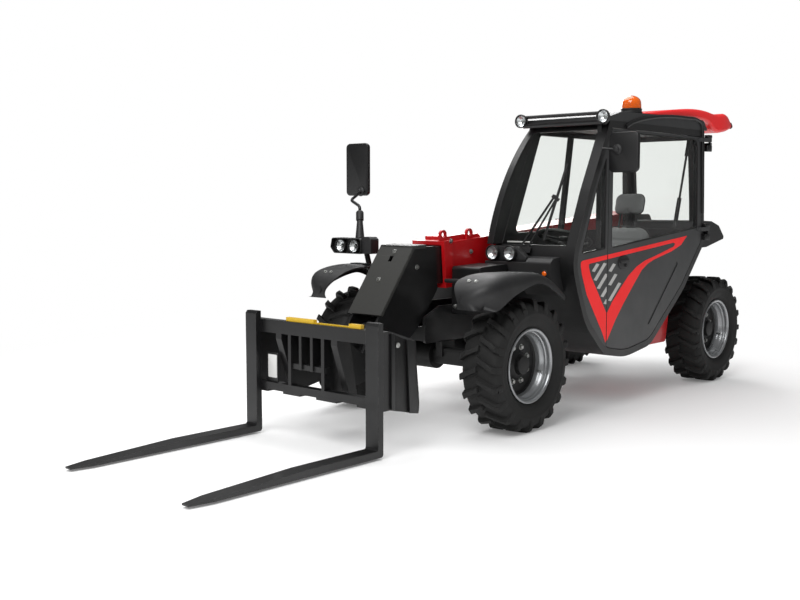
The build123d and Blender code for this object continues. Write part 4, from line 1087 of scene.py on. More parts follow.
@dataclass
class FrontLamps(Trim):
    """The headlamps beside the boom and on the right fender's post, and the lamps over the windscreen."""

    inner_lamp: float = 112.0
    outer_lamp: float = DOOR_OUTER + 24

    def left(self) -> None:
        """Build the left pair in one moulding that follows both lamps."""
        bm = bmesh.new()
        outline = rounded([(100, 962, 22), (398, 962, 10), (410, 984, 14), (360, 1022, 30), (330, 1052, 34),
                           (118, 1054, 40)])
        add_plate(bm, outline, "xz", 382, 48, 3)
        lamps = [Lamp((165, 352, 1012), 44), Lamp((296, 352, 1012), 44)]
        LampGroup(self.coat, "headlamp_left", lamps).build(bm, ("headlamp_left",))

    def right(self) -> None:
        """Build the right pair in its six-sided housing, with the bracket, post and mirror's clamp."""
        bm = bmesh.new()
        rim = rounded([(-768, 1036, 12), (-734, 998, 14), (-500, 998, 12), (-488, 1014, 8), (-488, 1086, 8),
                       (-500, 1098, 12), (-754, 1098, 12)])
        lip, mouth = ([((x + 628) * wide - 628, (z - 1048) * tall + 1048) for x, z in rim]
                      for wide, tall in ((0.98, 0.96), (0.955, 0.9)))
        add_loft(bm, [[at(x, y, z) for x, z in ring] for y, ring in
                      ((-72, rim), (-152, rim), (-158, lip), (-157, mouth), (-124, mouth))])
        add_plate(bm, rounded([(-496, 1000, 10), (-412, 1000, 12), (-412, 1092, 12), (-430, 1108, 8),
                               (-496, 1108, 8)]), "xz", -146, 74, 3)
        # foot on the fender, its short post, and the stalk that leans out to the mirror's arm
        add_plate(bm, [(-650, 929), (-480, 929), (-480, 935), (-650, 935)], "xz", -90, 66, 1)
        add_pipe(bm, [at(-510, -60, 932), at(-510, -84, 1010)], 18)
        stalk, clamp = at(-560, -92, 1090), at(-610, -40, 1268)
        length = (clamp - stalk).length / MM
        add_turned(bm, [(0, 0), (0, 30), (length * 0.35, 24), (length - 66, 19), (length - 62, 25),
                        (length - 8, 25), (length, 20), (length, 0)], frame_to(stalk, clamp - stalk),
                   steps=40)
        lamps = [Lamp((-684, -148, 1047), 42), Lamp((-566, -148, 1047), 42)]
        LampGroup(self.coat, "headlamp_right", lamps).build(bm, ("headlamp_right",))

    def roof(self) -> None:
        """Build the bar across the roof's front edge, a work lamp at each end and the guard rail over it."""
        low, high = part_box("light_bar")
        x0, x1 = low.x / MM, DOOR_OUTER
        bar_y, bar_z = 772, ROOF_TOP - 76
        bm = bmesh.new()
        section = rounded_box(bar_y, bar_z, bar_y + 13, bar_z + 26, 4, steps=4)
        add_plate(bm, section, "yz", x0 + 2, x1 - x0 - 2, 1)
        add_pipe(bm, [at(self.inner_lamp, bar_y - 20, bar_z + 44), at(x1 + 22, bar_y - 20, bar_z + 44)], 11)
        for x in (self.inner_lamp, self.outer_lamp):
            add_pipe(bm, [at(x, bar_y - 20, bar_z + 44), at(x, bar_y + 6, bar_z + 18)], 10)
        lamps = [Lamp((x, bar_y - 50, bar_z + 20), 40, 50) for x in (self.inner_lamp, self.outer_lamp)]
        LampGroup(self.coat, "work_lamp", lamps).build(bm, ("light_bar",))

    def build(self) -> None:
        """Build every lamp."""
        self.left()
        self.right()
        self.roof()


@dataclass
class RoofTail(Trim):
    """The red gelcoat tail behind the roof: one flowing shell, with the dark lamp that closes its end."""

    right: float = 140.0
    left: float = 640.0
    narrows_at: float = 2560.0
    narrows_by: float = 46.0

    # (y, underside z, top z) along the shell, on its crown
    stations = [(1492, 1912, 1926), (1600, 1912, 1941), (1780, 1914, 1964), (1960, 1917, 1982),
                (2116, 1920, 1994), (2250, 1918, 1997), (2369, 1902, 1992), (2434, 1862, 1985),
                (2516, 1842, 1979), (2600, 1850, 1985), (2670, 1860, 1994), (2733, 1872, 1985),
                (2790, 1883, 1962), (2836, 1892, 1941)]

    def section(self, y: float, low: float, top: float, inset: float) -> list[Vector]:
        """Return one section across the tail.

        Args:
            y: its place along the machine.
            low: the underside.
            top: the crown.
            inset: how far its sides draw in.

        Returns:
            The closed ring, with softly rounded sides.
        """
        soft = min((top - low) * 0.48, 34)
        ring = rounded([(self.right + inset, low, soft * 0.7), (self.left - inset, low, soft * 0.7),
                        (self.left - inset - 14, top, soft), (self.right + inset + 14, top, soft)], 6)
        return [at(x, y, z) for x, z in ring]

    def build(self) -> None:
        """Build the shell and its end lamp."""
        along = spline([(y, low) for y, low, _ in self.stations], 3)
        over = spline([(y, top) for y, _, top in self.stations], 3)
        rows = []
        for under, crown in zip(along, over):
            past = max(0.0, under.x - self.narrows_at) / (self.stations[-1][0] - self.narrows_at)
            rows.append(self.section(under.x, under.y, crown.y, self.narrows_by * past**2))
        bm = bmesh.new()
        add_loft(bm, rows)
        # the tail's red is raised partly as painted light
        finish_piece("roof_tail_shell", bm, "chassis", self.coat.red_gelcoat_with_painted_light, ("roof_tail",), 50)
        bm = bmesh.new()
        y, low, top = self.stations[-1]
        # (back, underside, top, inset) from the shell's last station
        steps = ((-6, -3, 3, 42), (14, -2, 1, 43), (26, 4, -5, 48), (30, 10, -11, 56))
        add_loft(bm, [self.section(y + back, low + under, top + over, inset)
                      for back, under, over, inset in steps])
        self.moulded("tail_end_lamp", bm)


@dataclass
class Beacon(Trim):
    """The amber beacon: a black collar with a drip edge, and a ribbed dome over its rotating mirror."""

    def build(self) -> None:
        """Build the collar and the dome."""
        low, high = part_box("beacon")
        foot = Vector(((low.x + high.x) / 2, (low.y + high.y) / 2, low.z - 0.031))
        place = Matrix.Translation(foot)
        radius = (high.x - low.x) / 2 / MM + 9
        top = (high.z - low.z) / MM + 30
        bm = bmesh.new()
        add_turned(bm, [(0, 0), (0, radius + 2), (4, radius + 4), (10, radius + 4), (13, radius),
                        (24, radius - 1), (29, radius + 1), (33, radius), (35, radius - 6), (35, 0)], place,
                   steps=72)
        self.moulded("beacon_collar", bm)
        bm = bmesh.new()
        wall = [(34, radius - 6)]
        for rib in range(5):
            z = 37 + rib * 6
            wall += [(z, radius - 4 - rib * 0.3), (z + 4, radius - 4 - rib * 0.3),
                     (z + 5, radius - 5.4 - rib * 0.3)]
        rise = top - 68
        for step in range(1, 11):
            angle = math.pi / 2 * step / 10
            wall.append((68 + rise * math.sin(angle), (radius - 6) * math.cos(angle)))
        add_turned(bm, [(34, 0)] + wall, place, steps=72)
        finish_piece("beacon_dome", bm, "chassis", self.coat.amber, ("beacon",))


@dataclass
class Pad:
    """A foam pad in a sewn cover: swollen by cloth pressure, then given its sewn channels."""

    name: str
    outline: list[Point]
    level: float
    depth: float
    tilt_degrees: float
    pivot: Point
    channels: list[float]
    coat: Coat
    voxel_mm: float = 6.0
    swell_mm: float = 12.0
    pressure: float = 4.0
    frames: int = 20
    channel_mm: float = 9.0
    channel_depth_mm: float = 6.0

    def place(self) -> Matrix:
        """Return the transform that leans the pad about its pivot."""
        foot = at(*self.pivot)
        return Matrix.Translation(foot) @ Matrix.Rotation(math.radians(self.tilt_degrees), 4, "X")

    def swell(self, pad: bpy.types.Object) -> None:
        """Blow the pad up against its cover.

        Args:
            pad: the pad, already remeshed.
        """
        before = [v.co.copy() for v in pad.data.vertices]
        cloth = pad.modifiers.new("cloth", "CLOTH")
        cloth.settings.use_pressure = True
        cloth.settings.uniform_pressure_force = self.pressure
        cloth.settings.effector_weights.gravity = 0.0
        cloth.point_cache.frame_start, cloth.point_cache.frame_end = 1, self.frames
        scene = bpy.context.scene
        for number in range(1, self.frames + 1):
            scene.frame_set(number)
        shaped = pad.evaluated_get(bpy.context.evaluated_depsgraph_get()).to_mesh()
        after = [v.co.copy() for v in shaped.vertices]
        pad.modifiers.remove(cloth)
        cap = self.swell_mm * MM
        for vert, old, new in zip(pad.data.vertices, before, after):
            move = new - old
            if move.length > cap:
                move = move.normalized() * cap
            vert.co = old + move
        scene.frame_set(1)

    def build(self) -> None:
        """Build the pad and its piping."""
        bm = bmesh.new()
        corners = [Vector((u * MM, v * MM, self.level * MM)) for u, v in rounded(self.outline)]
        add_prism(bm, corners, UP, self.depth)
        bmesh.ops.recalc_face_normals(bm, faces=bm.faces)
        rims = [e for e in bm.edges if e.calc_face_angle(0) > 1.0]
        bmesh.ops.bevel(bm, geom=rims, offset=self.depth * 0.32 * MM, segments=4, profile=0.5, affect="EDGES",
                        material=-1)
        raw = link_object(self.name, to_mesh(self.name, bm))
        remesh = raw.modifiers.new("voxels", "REMESH")
        remesh.mode = "VOXEL"
        remesh.voxel_size = self.voxel_mm * MM
        shaped = bpy.data.meshes.new_from_object(raw.evaluated_get(bpy.context.evaluated_depsgraph_get()))
        raw.modifiers.clear()
        raw.data = shaped
        self.swell(raw)
        bm = bmesh.new()
        bm.from_mesh(raw.data)
        bpy.data.objects.remove(raw)
        bmesh.ops.smooth_vert(bm, verts=bm.verts, factor=0.5, use_axis_x=True, use_axis_y=True,
                              use_axis_z=True)
        crown = (self.level + self.depth / 2) * MM
        for vert in bm.verts:
            for line in self.channels:
                pull = math.exp(-(((vert.co.y / MM - line) / self.channel_mm) ** 2))
                vert.co.z -= (self.channel_depth_mm * MM * pull) * (1 if vert.co.z > crown else 0)
        bmesh.ops.transform(bm, matrix=self.place(), verts=bm.verts)
        piece = finish_piece(self.name, bm, "chassis", self.coat.fabric, sharp_degrees=60)
        # piping sewn round the cover's middle
        bm = bmesh.new()
        middle = self.level + self.depth * 0.5
        loop = [self.place() @ Vector((u * MM, v * MM, middle * MM)) for u, v in rounded(self.outline, 5)]
        add_pipe(bm, loop, 3.5, closed=True)
        finish_piece(self.name + "_piping", bm, "chassis", self.coat.vinyl)


@dataclass
class DriverSeat(Trim):
    """The suspension seat: bellows, pan, padded cushion and back with sewn channels, and a headrest."""

    def build(self) -> None:
        """Build the seat."""
        low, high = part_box("seat")
        middle = (low.x + high.x) / 2 / MM
        half = (high.x - low.x) / 2 / MM - 14
        # name, near and far half widths, length, near and far corners, level, depth, lean, pivot, channels
        pads = [("seat_cushion", half, half, 352, 45, 60, 0, 78, 3.0, (0, 1146, 618), [120, 235]),
                ("seat_back", half, half - 30, 470, 50, 80, -38, 74, 76.0, (0, 1512, 700), [130, 250, 360]),
                ("seat_headrest", 110, 110, 140, 35, 45, -26, 52, 76.0, (0, 1632, 1246), [])]
        for name, near, far, length, near_corner, far_corner, *rest in pads:
            outline = [(middle - near, 0, near_corner), (middle + near, 0, near_corner),
                       (middle + far, length, far_corner), (middle - far, length, far_corner)]
            Pad(name, outline, *rest, self.coat).build()
        bm = bmesh.new()
        # pan and pedestal
        add_plate(bm, rounded([(1150, 602, 10), (1150, 622, 10), (1540, 646, 10), (1556, 622, 18)]), "yz",
                  low.x / MM + 22, 2 * half - 16, 3)
        for row in range(8):
            grow = 12 if row % 2 else 0
            outline = rounded_box(middle - 140 - grow, 1200 - grow, middle + 140 + grow, 1385 + grow, 20,
                                  steps=4)
            add_plate(bm, outline, "xy", 404 + row * 24.5, 25, 4)
        for x in (middle - 65, middle + 65):
            add_pipe(bm, [at(x, 1606, 1150), at(x, 1642, 1268)], 7)
        self.moulded("seat_frame", bm, "seat")


@dataclass
class Controls(Trim):
    """The steering column in its console, the wheel, and the levers by the driver's right hand."""

    column_x: float = 400.0

    def build(self) -> None:
        """Build the console, the wheel and the levers."""
        x = self.column_x
        foot, head = at(x, 660, 625), at(x, 815, 1075)
        along = (head - foot).normalized()
        bm = bmesh.new()
        console = rounded([(838, 404, 6), (858, 404, 6), (790, 740, 60), (696, 892, 30), (552, 892, 8),
                           (566, 806, 40), (660, 606, 60), (790, 450, 30)])
        add_plate(bm, console, "yz", x - 104, 208, 8)
        add_turned(bm, [(0, 0), (0, 30), (380, 27), (420, 38), (456, 40), (470, 30), (470, 0)],
                   frame_to(foot, along), steps=40)
        # raised instrument hood
        hood = rounded([(700, 880, 8), (770, 800, 10), (800, 850, 24), (742, 936, 24), (690, 930, 14)])
        add_plate(bm, hood, "yz", x - 86, 172, 6)
        for side in (-1, 1):
            add_pipe(bm, [head - along * 0.05, head - along * 0.05 + Vector((side * 0.15, -0.02, 0.01))], 5)
        self.moulded("steering_console", bm, "steering")
        bm = bmesh.new()
        place = frame_to(head, along)
        ring = [(22 + 13 * math.sin(a), 166 + 13 * math.cos(a))
                for a in (math.tau * i / 16 for i in range(16))]
        add_turned(bm, ring, place, steps=72, closed=True)
        add_turned(bm, [(0, 0), (0, 34), (14, 40), (22, 38), (28, 24), (29, 0)], place, steps=40)
        for angle in (30, 150, 270):
            turn = place @ Matrix.Rotation(math.radians(angle), 4, "Z")
            spoke = [turn @ Vector((u * MM, v * MM, 0.010)) for u, v in ((30, -17), (160, -11), (160, 11),
                                                                         (30, 17))]
            add_prism(bm, spoke, along, 8, 2)
        add_turned(bm, [(20, 0), (20, 16), (46, 18), (60, 12), (62, 0)],
                   place @ Matrix.Translation((-0.13, 0.1, 0)), steps=24)
        finish_piece("steering_wheel", bm, "chassis", self.coat.vinyl)
        # side console and its levers, between the seat and the cab's right wall
        bm = bmesh.new()
        add_plate(bm, rounded([(1000, 404, 10), (1560, 404, 10), (1560, 700, 30), (1160, 760, 40),
                               (1000, 700, 30)]), "yz", 136, 40, 5)
        self.moulded("side_console", bm)
        bm = bmesh.new()
        for y, reach in ((1090, 190), (1190, 150), (1270, 120)):
            add_pipe(bm, [at(156, y, 735), at(160, y - 30, 735 + reach)], 5)
            grip = frame_to(at(160, y - 26, 715 + reach), Vector((0.1, -0.3, 1)))
            add_turned(bm, [(0, 0), (0, 10), (10, 15), (40, 17), (62, 14), (74, 7), (76, 0)], grip, steps=24)
        finish_piece("console_levers", bm, "chassis", self.coat.vinyl)


@dataclass
class CabTrim(Trim):
    """What is fixed to the cab: seals, latch, strut, hinges, mirrors, marker, shelf, gutter and sill."""

    def seals(self) -> None:
        """Run a rubber bead round the door's window and the quarter window."""
        window_top = ROOF_TOP - 138
        door = [(900, 1038, 20), (CAB_REAR - 115, 1146, 20), (CAB_REAR - 137, window_top, 60),
                (900, window_top, 20)]
        quarter = [(548, 1012, 15), (822, 1036, 10), (822, ROOF_TOP - 298, 5), (706, ROOF_TOP - 507, 200)]
        for name, body, outline in (("door_seal", "door", door), ("quarter_seal", "chassis", quarter)):
            bm = bmesh.new()
            route = [at(DOOR_OUTER - 4.5, y, z) for y, z in rounded(outline, 9)]
            add_pipe(bm, route, 5.5, closed=True)
            finish_piece(name, bm, body, self.coat.seal)

    def door_parts(self) -> None:
        """Build the latch in its dished cup and the gas strut inside the glass."""
        bm = bmesh.new()
        cup = [(72 * math.cos(a) + 1052, 46 * math.sin(a) + 940)
               for a in (math.tau * i / 40 for i in range(40))]
        add_plate(bm, cup, "yz", DOOR_OUTER + 0.2, 5, 2)
        grip = rounded([(996, 938, 8), (1106, 940, 8), (1106, 960, 8), (996, 956, 8)])
        add_plate(bm, grip, "yz", DOOR_OUTER + 4, 11, 3)
        add_turned(bm, [(0, 0), (0, 12), (9, 11), (11, 8), (11, 0)],
                   frame_to(at(DOOR_OUTER + 4, 1072, 920), LEFT), steps=28)
        finish_piece("door_latch", bm, "door", self.coat.plastic, ("door_handle",))
        bm = bmesh.new()
        strut = [at(652, WHEELBASE - 372, 1780), at(650, WHEELBASE - 557, 1146)]
        add_pipe(bm, strut, 8)
        add_pipe(bm, [strut[1], strut[1].lerp(strut[0], 0.33)], 15)
        add_pipe(bm, [strut[0], strut[0].lerp(strut[1], 0.2)], 14)
        self.blackened("door_strut", bm, "chassis")

    def hinges(self) -> None:
        """Close each door hinge: a rounded knuckle over the door's strap, one under the post's bracket."""
        knuckles, brackets = bmesh.new(), bmesh.new()
        axis_x, axis_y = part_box("door")[1].x / MM - 14, WHEELBASE - 175
        plan = rounded([(axis_x - 24, axis_y - 44, 10), (axis_x + 12, axis_y - 44, 12),
                        (axis_x + 18, axis_y + 18, 16), (axis_x - 18, axis_y + 18, 16)])
        for strap_top in (1148, ROOF_TOP - 125):
            add_plate(knuckles, plan, "xy", strap_top, 24, 4)
            add_plate(brackets, plan, "xy", strap_top - 50, -44, 4)
        self.blackened("door_knuckles", knuckles, "door")
        self.blackened("post_knuckles", brackets, "chassis")

    def mirrors(self) -> None:
        """Build each mirror: shell on its arm, silvered glass in its back and the knuckle on its front."""
        for side in ("left", "right"):
            low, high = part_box(f"mirror_{side}")
            if side == "left":
                x0, x1 = DOOR_OUTER + 35, high.x / MM - 1
                z0, z1 = ROOF_TOP - 398, high.z / MM
                knuckle = (x0 + 60, ROOF_TOP - 258)
                face = 815.0
                arm = [at(DOOR_OUTER + 2.3, 768, ROOF_TOP - 248), at(x0 + 60, 790, ROOF_TOP - 258)]
            else:
                x0, x1 = low.x / MM + 1, -DOOR_OUTER - 35
                z0, z1 = 1370, high.z / MM
                knuckle = (x1 - 65, 1400)
                face = 195.0
                arm = [at(-610, -40, 1255), at(-610, -40, 1300), at(-760, 30, 1340), at(x1 - 65, 172, 1400)]
            bm = bmesh.new()
            add_plate(bm, rounded_box(x0, z0, x1, z1, 30), "xz", face - 30, 30, 9)
            add_pipe(bm, arm, 9 if side == "left" else 10, 30)
            finish_piece(f"mirror_{side}_shell", bm, "chassis", self.coat.black,
                         (f"mirror_{side}",))
            bm = bmesh.new()
            edge = 11
            outline = rounded_box(x0 + edge, z0 + edge, x1 - edge, z1 - edge, 20)
            add_plate(bm, outline, "xz", face - 1, 2.2, 0.4)
            finish_piece(f"mirror_{side}_glass", bm, "chassis", self.coat.mirror)
            bm = bmesh.new()
            add_turned(bm, [(-2, 0), (-2, 34), (4, 33), (9, 28), (12, 20), (20, 17), (24, 12), (25, 0)],
                       frame_to(at(knuckle[0], face - 30, knuckle[1]), AHEAD), steps=36)
            self.moulded(f"mirror_{side}_knuckle", bm)

    def marker(self) -> None:
        """Build the amber marker lamp on the cowl's front face."""
        face = frame_to(at(560, 359, 895), AHEAD)
        bm = bmesh.new()
        add_turned(bm, [(0, 0), (0, 24), (4, 24), (6, 22), (6, 18), (4, 17), (4, 0)], face, steps=40)
        self.moulded("marker_bezel", bm)
        bm = bmesh.new()
        add_turned(bm, [(4, 0), (4, 16), (9, 14.5), (12, 10), (13, 5), (13.4, 0)], face, steps=40)
        finish_piece("marker_lens", bm, "chassis", self.coat.amber)

    def roof_rail(self) -> None:
        """Run the black gutter from the front pillar over the door and down the cab's rear post."""
        # (y, z) from the cab's rear edge and the roof's top
        route = [at(DOOR_OUTER + 2, CAB_REAR + y, ROOF_TOP + z) for y, z in (
            (-1148, -102), (-1083, -77), (-1007, -57), (-817, -25), (-584, -5), (-320, 0), (-153, -6),
            (-89, -36), (-73, -118), (-59, -348), (-45, -658))]
        bm = bmesh.new()
        add_pipe(bm, route, 13, flowing=True)
        self.blackened("roof_gutter", bm, "chassis")

    def sill_panel(self) -> None:
        """Carry the chassis side's red panel out to the cab's flank, shaped round the rear wheel."""
        # (from the rear axle, height, corner)
        corners = ((-960, 337, 10), (-548, 337, 20), (-500, 560, 60), (-437, 703, 8), (-500, 706, 5),
                   (-740, 520, 40), (-940, 378, 10))
        outline = rounded([(WHEELBASE + y, z, radius) for y, z, radius in corners])
        bm = bmesh.new()
        add_plate(bm, outline, "yz", 470, 126, 6)
        finish_piece("sill_panel", bm, "chassis", self.coat.red)

    def screen_shelf(self) -> None:
        """Lay the pale shelf that shows at the foot of the windscreen."""
        bm = bmesh.new()
        add_plate(bm, rounded_box(172, 500, 352, 530, 6), "xy", 1072, 9, 2)
        finish_piece("screen_shelf", bm, "chassis", self.coat.grey_film)

    def build(self) -> None:
        """Build all the trim."""
        self.seals()
        self.door_parts()
        self.hinges()
        self.mirrors()
        self.marker()
        self.screen_shelf()
        self.roof_rail()
        self.sill_panel()


@dataclass
class BoomTrim(Trim):
    """Fasteners and plates on the boom head and the carriage, and the blank plate on the left upright."""

    def __post_init__(self) -> None:
        """Find which ways the head's sloping cover runs and faces."""
        slope = math.atan2(627.0, 465.5)
        self.down = Vector((0, -math.cos(slope), -math.sin(slope)))
        self.out = Vector((0, -math.sin(slope), math.cos(slope)))

    def head_cover(self) -> None:
        """Lay the slate sheet over the head's front cover, open at the slot, its return along the top."""
        crest = at(0, -289.4, 1064.0) + self.out * 0.3 * MM
        right, left, slot_right, slot_left = -190.0, 70.0, -74.0, -46.0
        # (side, side, from, to) down the slope
        parts = [(right, left, -3, 70), (right, slot_right, 70, 111), (slot_left, left, 70, 111),
                 (right, left, 111, 480)]
        bm = bmesh.new()
        for x0, x1, start, end in parts:
            corners = [crest + self.down * drop * MM + Vector((x * MM, 0, 0))
                       for x, drop in ((x0, start), (x1, start), (x1, end), (x0, end))]
            add_prism(bm, corners, self.out, 2.5)
        add_plate(bm, [(-296, 1067.5), (-173, 1072.4), (-173, 1075), (-292, 1070.4)], "yz", right,
                  left - right, 0)
        # side returns, folded down over the plates
        for x, depth in ((69.3, 2.2), (-189.3, -2.2)):
            add_plate(bm, [(-290, 1064), (-173, 1072), (-173, 1052), (-280, 1050), (-559, 672), (-574, 681)],
                      "yz", x, depth, 0)
        finish_piece("head_cover", bm, "boom_extension", self.coat.slate)

    def build(self) -> None:
        """Build the trim."""
        self.head_cover()
        crown = at(0, -279.5, 1057.0) + self.out * 15 * MM
        bolts = bmesh.new()
        for x, drop in ((-59, 38), (-77, 240)):
            add_bolt(bolts, crown + self.down * drop * MM + Vector((x * MM, 0, 0)), self.out, 20)
        for x, side in ((55, LEFT), (-175, -LEFT)):
            add_bolt(bolts, at(x, -240, 942), side, 22)
        self.plated("head_bolts", bolts, "boom_extension")
        # tilt pin's end plates
        bm = bmesh.new()
        for hand in (-1, 1):
            face = frame_to(at(BOOM_X + hand * 145, *TILT_PIN), LEFT * hand)
            add_turned(bm, [(0.5, 0), (0.5, 30), (4, 30), (6, 28), (6, 12), (8, 11), (8, 0)], face, steps=36)
        self.plated("tilt_pin_caps", bm, "boom_extension")
        bm = bmesh.new()
        add_plate(bm, rounded_box(-396, 300, -304, 474, 4, 10), "xz", -1028, 6, 1)
        self.blackened("carriage_strip", bm, "carriage")
        bm = bmesh.new()
        add_plate(bm, rounded_box(-386, 332, -312, 464, 6), "xz", -1028.2, -1, 0.2)
        finish_piece("carriage_plate", bm, "carriage", self.coat.white_film)
        # each side plate's two ribs, a darker sheet between them that paints the recess's shade, and the lock
        # pin's end
        ribs, recess_shade_sheet, pins = bmesh.new(), bmesh.new(), bmesh.new()
        for x, hand in ((522, 1), (-522, -1)):
            add_plate(ribs, [(-988, 652), (-988, 256), (-962, 249), (-962, 648)], "yz", x, 13 * hand, 2)
            add_plate(ribs, [(-868, 611), (-846, 216), (-776, 204), (-799, 596)], "yz", x, 13 * hand, 2)
            add_plate(recess_shade_sheet, [(-961, 646), (-961, 250), (-847, 217), (-869, 610)], "yz", x, 1.0 * hand, 0.3)
            add_turned(pins, [(0, 0), (0, 15), (11, 15), (14, 12), (14, 0)],
                       frame_to(at(x, -938, 588), LEFT * hand), steps=32)
        self.blackened("carriage_ribs", ribs, "carriage")
        # painted shade: a darker, rougher sheet laid in the recess between the ribs
        finish_piece("carriage_painted_shade", recess_shade_sheet, "carriage", self.coat.casting)
        self.plated("carriage_pins", pins, "carriage")
        # at the boom's collar, and on the front box
        for name, body, out, across, seats in (
                ("boom_bolts", "boom", LEFT, 22, ((56, 279, 1017), (70, 60, 1090))),
                ("box_bolts", "chassis", AHEAD, 19, ((150, 52, 813), (110, 52, 690), (215, 52, 690)))):
            bolts = bmesh.new()
            for seat in seats:
                add_bolt(bolts, at(*seat), out, across)
            self.plated(name, bolts, body)


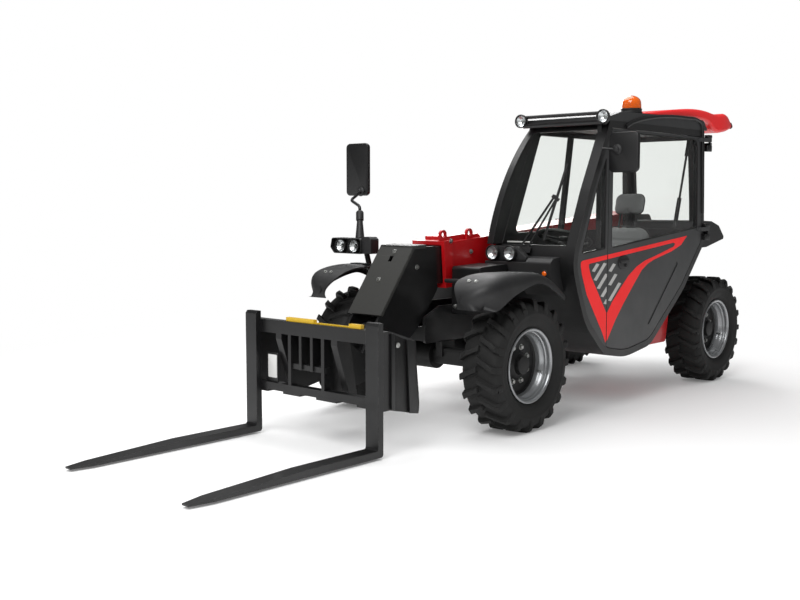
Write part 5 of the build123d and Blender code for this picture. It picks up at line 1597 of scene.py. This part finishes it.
# ---------------------------------------------------------------- floor, light and camera
@dataclass
class Studio:
    """A pale floor, soft light from above and the camera at the left front quarter."""

    camera_at: Point = (4.15, -5.28, 1.328)
    azimuth: float = 41.9
    dip: float = 5.33
    lens_mm: float = 47.25
    ambient: float = 0.55
    gloss: float = 0.16

    def floor(self) -> None:
        """Lay the floor, which shows the camera a paler self so that shadows stay soft."""
        bm = bmesh.new()
        bmesh.ops.create_grid(bm, x_segments=1, y_segments=1, size=60)
        floor = link_object("floor", to_mesh("floor", bm))
        material, tree, output = blank_material("painted_studio_floor")
        place = add_node(tree, "ShaderNodeTexCoord").outputs["Object"]
        cloud = add_node(tree, "ShaderNodeTexNoise", {"Vector": place, "Scale": 0.8})
        tone = add_node(tree, "ShaderNodeMapRange", {"Value": cloud.outputs["Fac"], "To Min": 0.55,
                                                     "To Max": 0.65})
        matt = add_node(tree, "ShaderNodeBsdfPrincipled", {"Base Color": (0.93, 0.93, 0.93, 1),
                                                           "Roughness": tone.outputs["Result"]})
        white = add_node(tree, "ShaderNodeEmission", {"Color": (1, 1, 1, 1), "Strength": 1.0})
        rays = add_node(tree, "ShaderNodeLightPath")
        # the floor fades to plain white away from the machine
        away = add_node(tree, "ShaderNodeVectorMath", {0: place}, operation="LENGTH").outputs["Value"]
        fade = add_node(tree, "ShaderNodeMapRange", {"Value": away, "From Min": 2.2, "From Max": 5.5,
                                                     "To Min": 0.12, "To Max": 1.0},
                        interpolation_type="SMOOTHSTEP")
        seen = add_node(tree, "ShaderNodeMath", {0: rays.outputs["Is Camera Ray"], 1: fade.outputs["Result"]},
                        operation="MULTIPLY")
        mixed = add_node(tree, "ShaderNodeMixShader", {0: seen.outputs[0], 1: matt.outputs[0],
                                                       2: white.outputs[0]})
        tree.links.new(mixed.outputs[0], output.inputs["Surface"])
        floor.data.materials.append(material)

    def world(self) -> None:
        """Light everything evenly, with white behind the machine and a darker room in its gloss."""
        world = bpy.data.worlds.new("studio")
        bpy.context.scene.world = world
        world.use_nodes = True
        tree = world.node_tree
        tree.nodes.clear()
        rays = add_node(tree, "ShaderNodeLightPath")
        direct = add_node(tree, "ShaderNodeMath", {0: rays.outputs["Is Camera Ray"],
                                                   1: rays.outputs["Is Transmission Ray"]},
                          operation="MAXIMUM").outputs[0]
        dimmed = add_node(tree, "ShaderNodeMapRange", {"Value": rays.outputs["Is Glossy Ray"],
                                                       "To Min": self.ambient,
                                                       "To Max": self.gloss}).outputs[0]
        fill = add_node(tree, "ShaderNodeBackground", {"Color": (1, 1, 1, 1), "Strength": dimmed})
        shown = add_node(tree, "ShaderNodeBackground", {"Color": (1, 1, 1, 1), "Strength": 1.0})
        both = add_node(tree, "ShaderNodeMixShader", {0: direct, 1: fill.outputs[0], 2: shown.outputs[0]})
        output = add_node(tree, "ShaderNodeOutputWorld")
        tree.links.new(both.outputs[0], output.inputs["Surface"])

    def lamp(self, name: str, place: Point, aim: Point, size: float, watts: float) -> None:
        """Hang one soft square lamp.

        Args:
            name: its name.
            place: where it hangs, in metres.
            aim: the point that it faces.
            size: its side in metres.
            watts: its power.
        """
        light = bpy.data.lights.new(name, "AREA")
        light.size = size
        light.energy = watts
        lamp = link_object(name, light)
        lamp.location = place
        lamp.rotation_euler = (Vector(aim) - Vector(place)).to_track_quat("-Z", "Y").to_euler()

    def camera(self) -> None:
        """Set the camera."""
        data = bpy.data.cameras.new("camera")
        data.lens = self.lens_mm
        data.sensor_width = 36.0
        data.clip_end = 200.0
        camera = link_object("camera", data)
        camera.location = self.camera_at
        camera.rotation_euler = (math.radians(90 - self.dip), 0, math.radians(self.azimuth))
        bpy.context.scene.camera = camera

    def build(self) -> None:
        """Set the whole stage."""
        self.floor()
        self.world()
        self.lamp("key", (1.5, -5.0, 5.5), (0, 0, 0.8), 4.0, 330)
        self.lamp("top", (-1.5, 1.0, 6.0), (0, 0, 0.8), 5.0, 260)
        self.lamp("rear", (-4.0, 5.5, 3.5), (0, 0.5, 0.8), 3.0, 160)
        self.camera()
        bpy.context.scene.view_settings.view_transform = "Standard"


def dress_frame(coat: Coat) -> None:
    """Give every CAD node that stays in view its finish.

    Args:
        coat: the finishes.
    """
    finishes = {
        coat.red: ("boom_outer", "side_panel", "hood"),
        coat.red_gelcoat_with_painted_light: ("roof_tail",),
        coat.black: ("frame", "carriage", "front_box", "boom_head", "mirror_left", "mirror_right",
                     "cab_frame", "light_bar", "wiper", "engine_bay", "boom_inner", "lift_barrel",
                     "tilt_barrel"), coat.tine: ("tines",),
        coat.charcoal: ("door", "quarter_panel", "roof"),
        coat.plastic: ("front_fender_left", "front_fender_right", "cowl", "headlamp_left",
                       "headlamp_right", "door_handle", "steering", "tail_lamp", "rear_cover_left",
                       "rear_cover_right"),
        coat.casting: ("counterweight", "front_axle", "rear_axle", "engine_block", "knuckle_front_left",
                       "knuckle_front_right", "knuckle_rear_left", "knuckle_rear_right"),
        coat.chrome: ("lift_rod", "tilt_rod"),
        coat.yellow: ("locking_lever",),
        coat.glass: ("windscreen", "side_window", "rear_screen", "quarter_glass", "door_glass"),
        coat.amber: ("beacon",),
        coat.fabric: ("seat",),
    }
    for material, nodes in finishes.items():
        for node in nodes:
            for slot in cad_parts[node].material_slots:
                slot.material = material


def main() -> None:
    """Dress the frame, build every sub-assembly and set the stage."""
    logging.basicConfig(level=logging.INFO, format="%(message)s")
    coat = Coat()
    dress_frame(coat)
    for corner in ("front_left", "front_right", "rear_left", "rear_right"):
        Wheel(corner, coat).build()
    DoorGraphic(coat).build()
    FrontLamps(coat).build()
    for side in ("left", "right"):
        Fender(coat, side).build()
    RoofTail(coat).build()
    Beacon(coat).build()
    DriverSeat(coat).build()
    Controls(coat).build()
    CabTrim(coat).build()
    BoomTrim(coat).build()
    Studio().build()


if __name__ == "__main__":
    main()
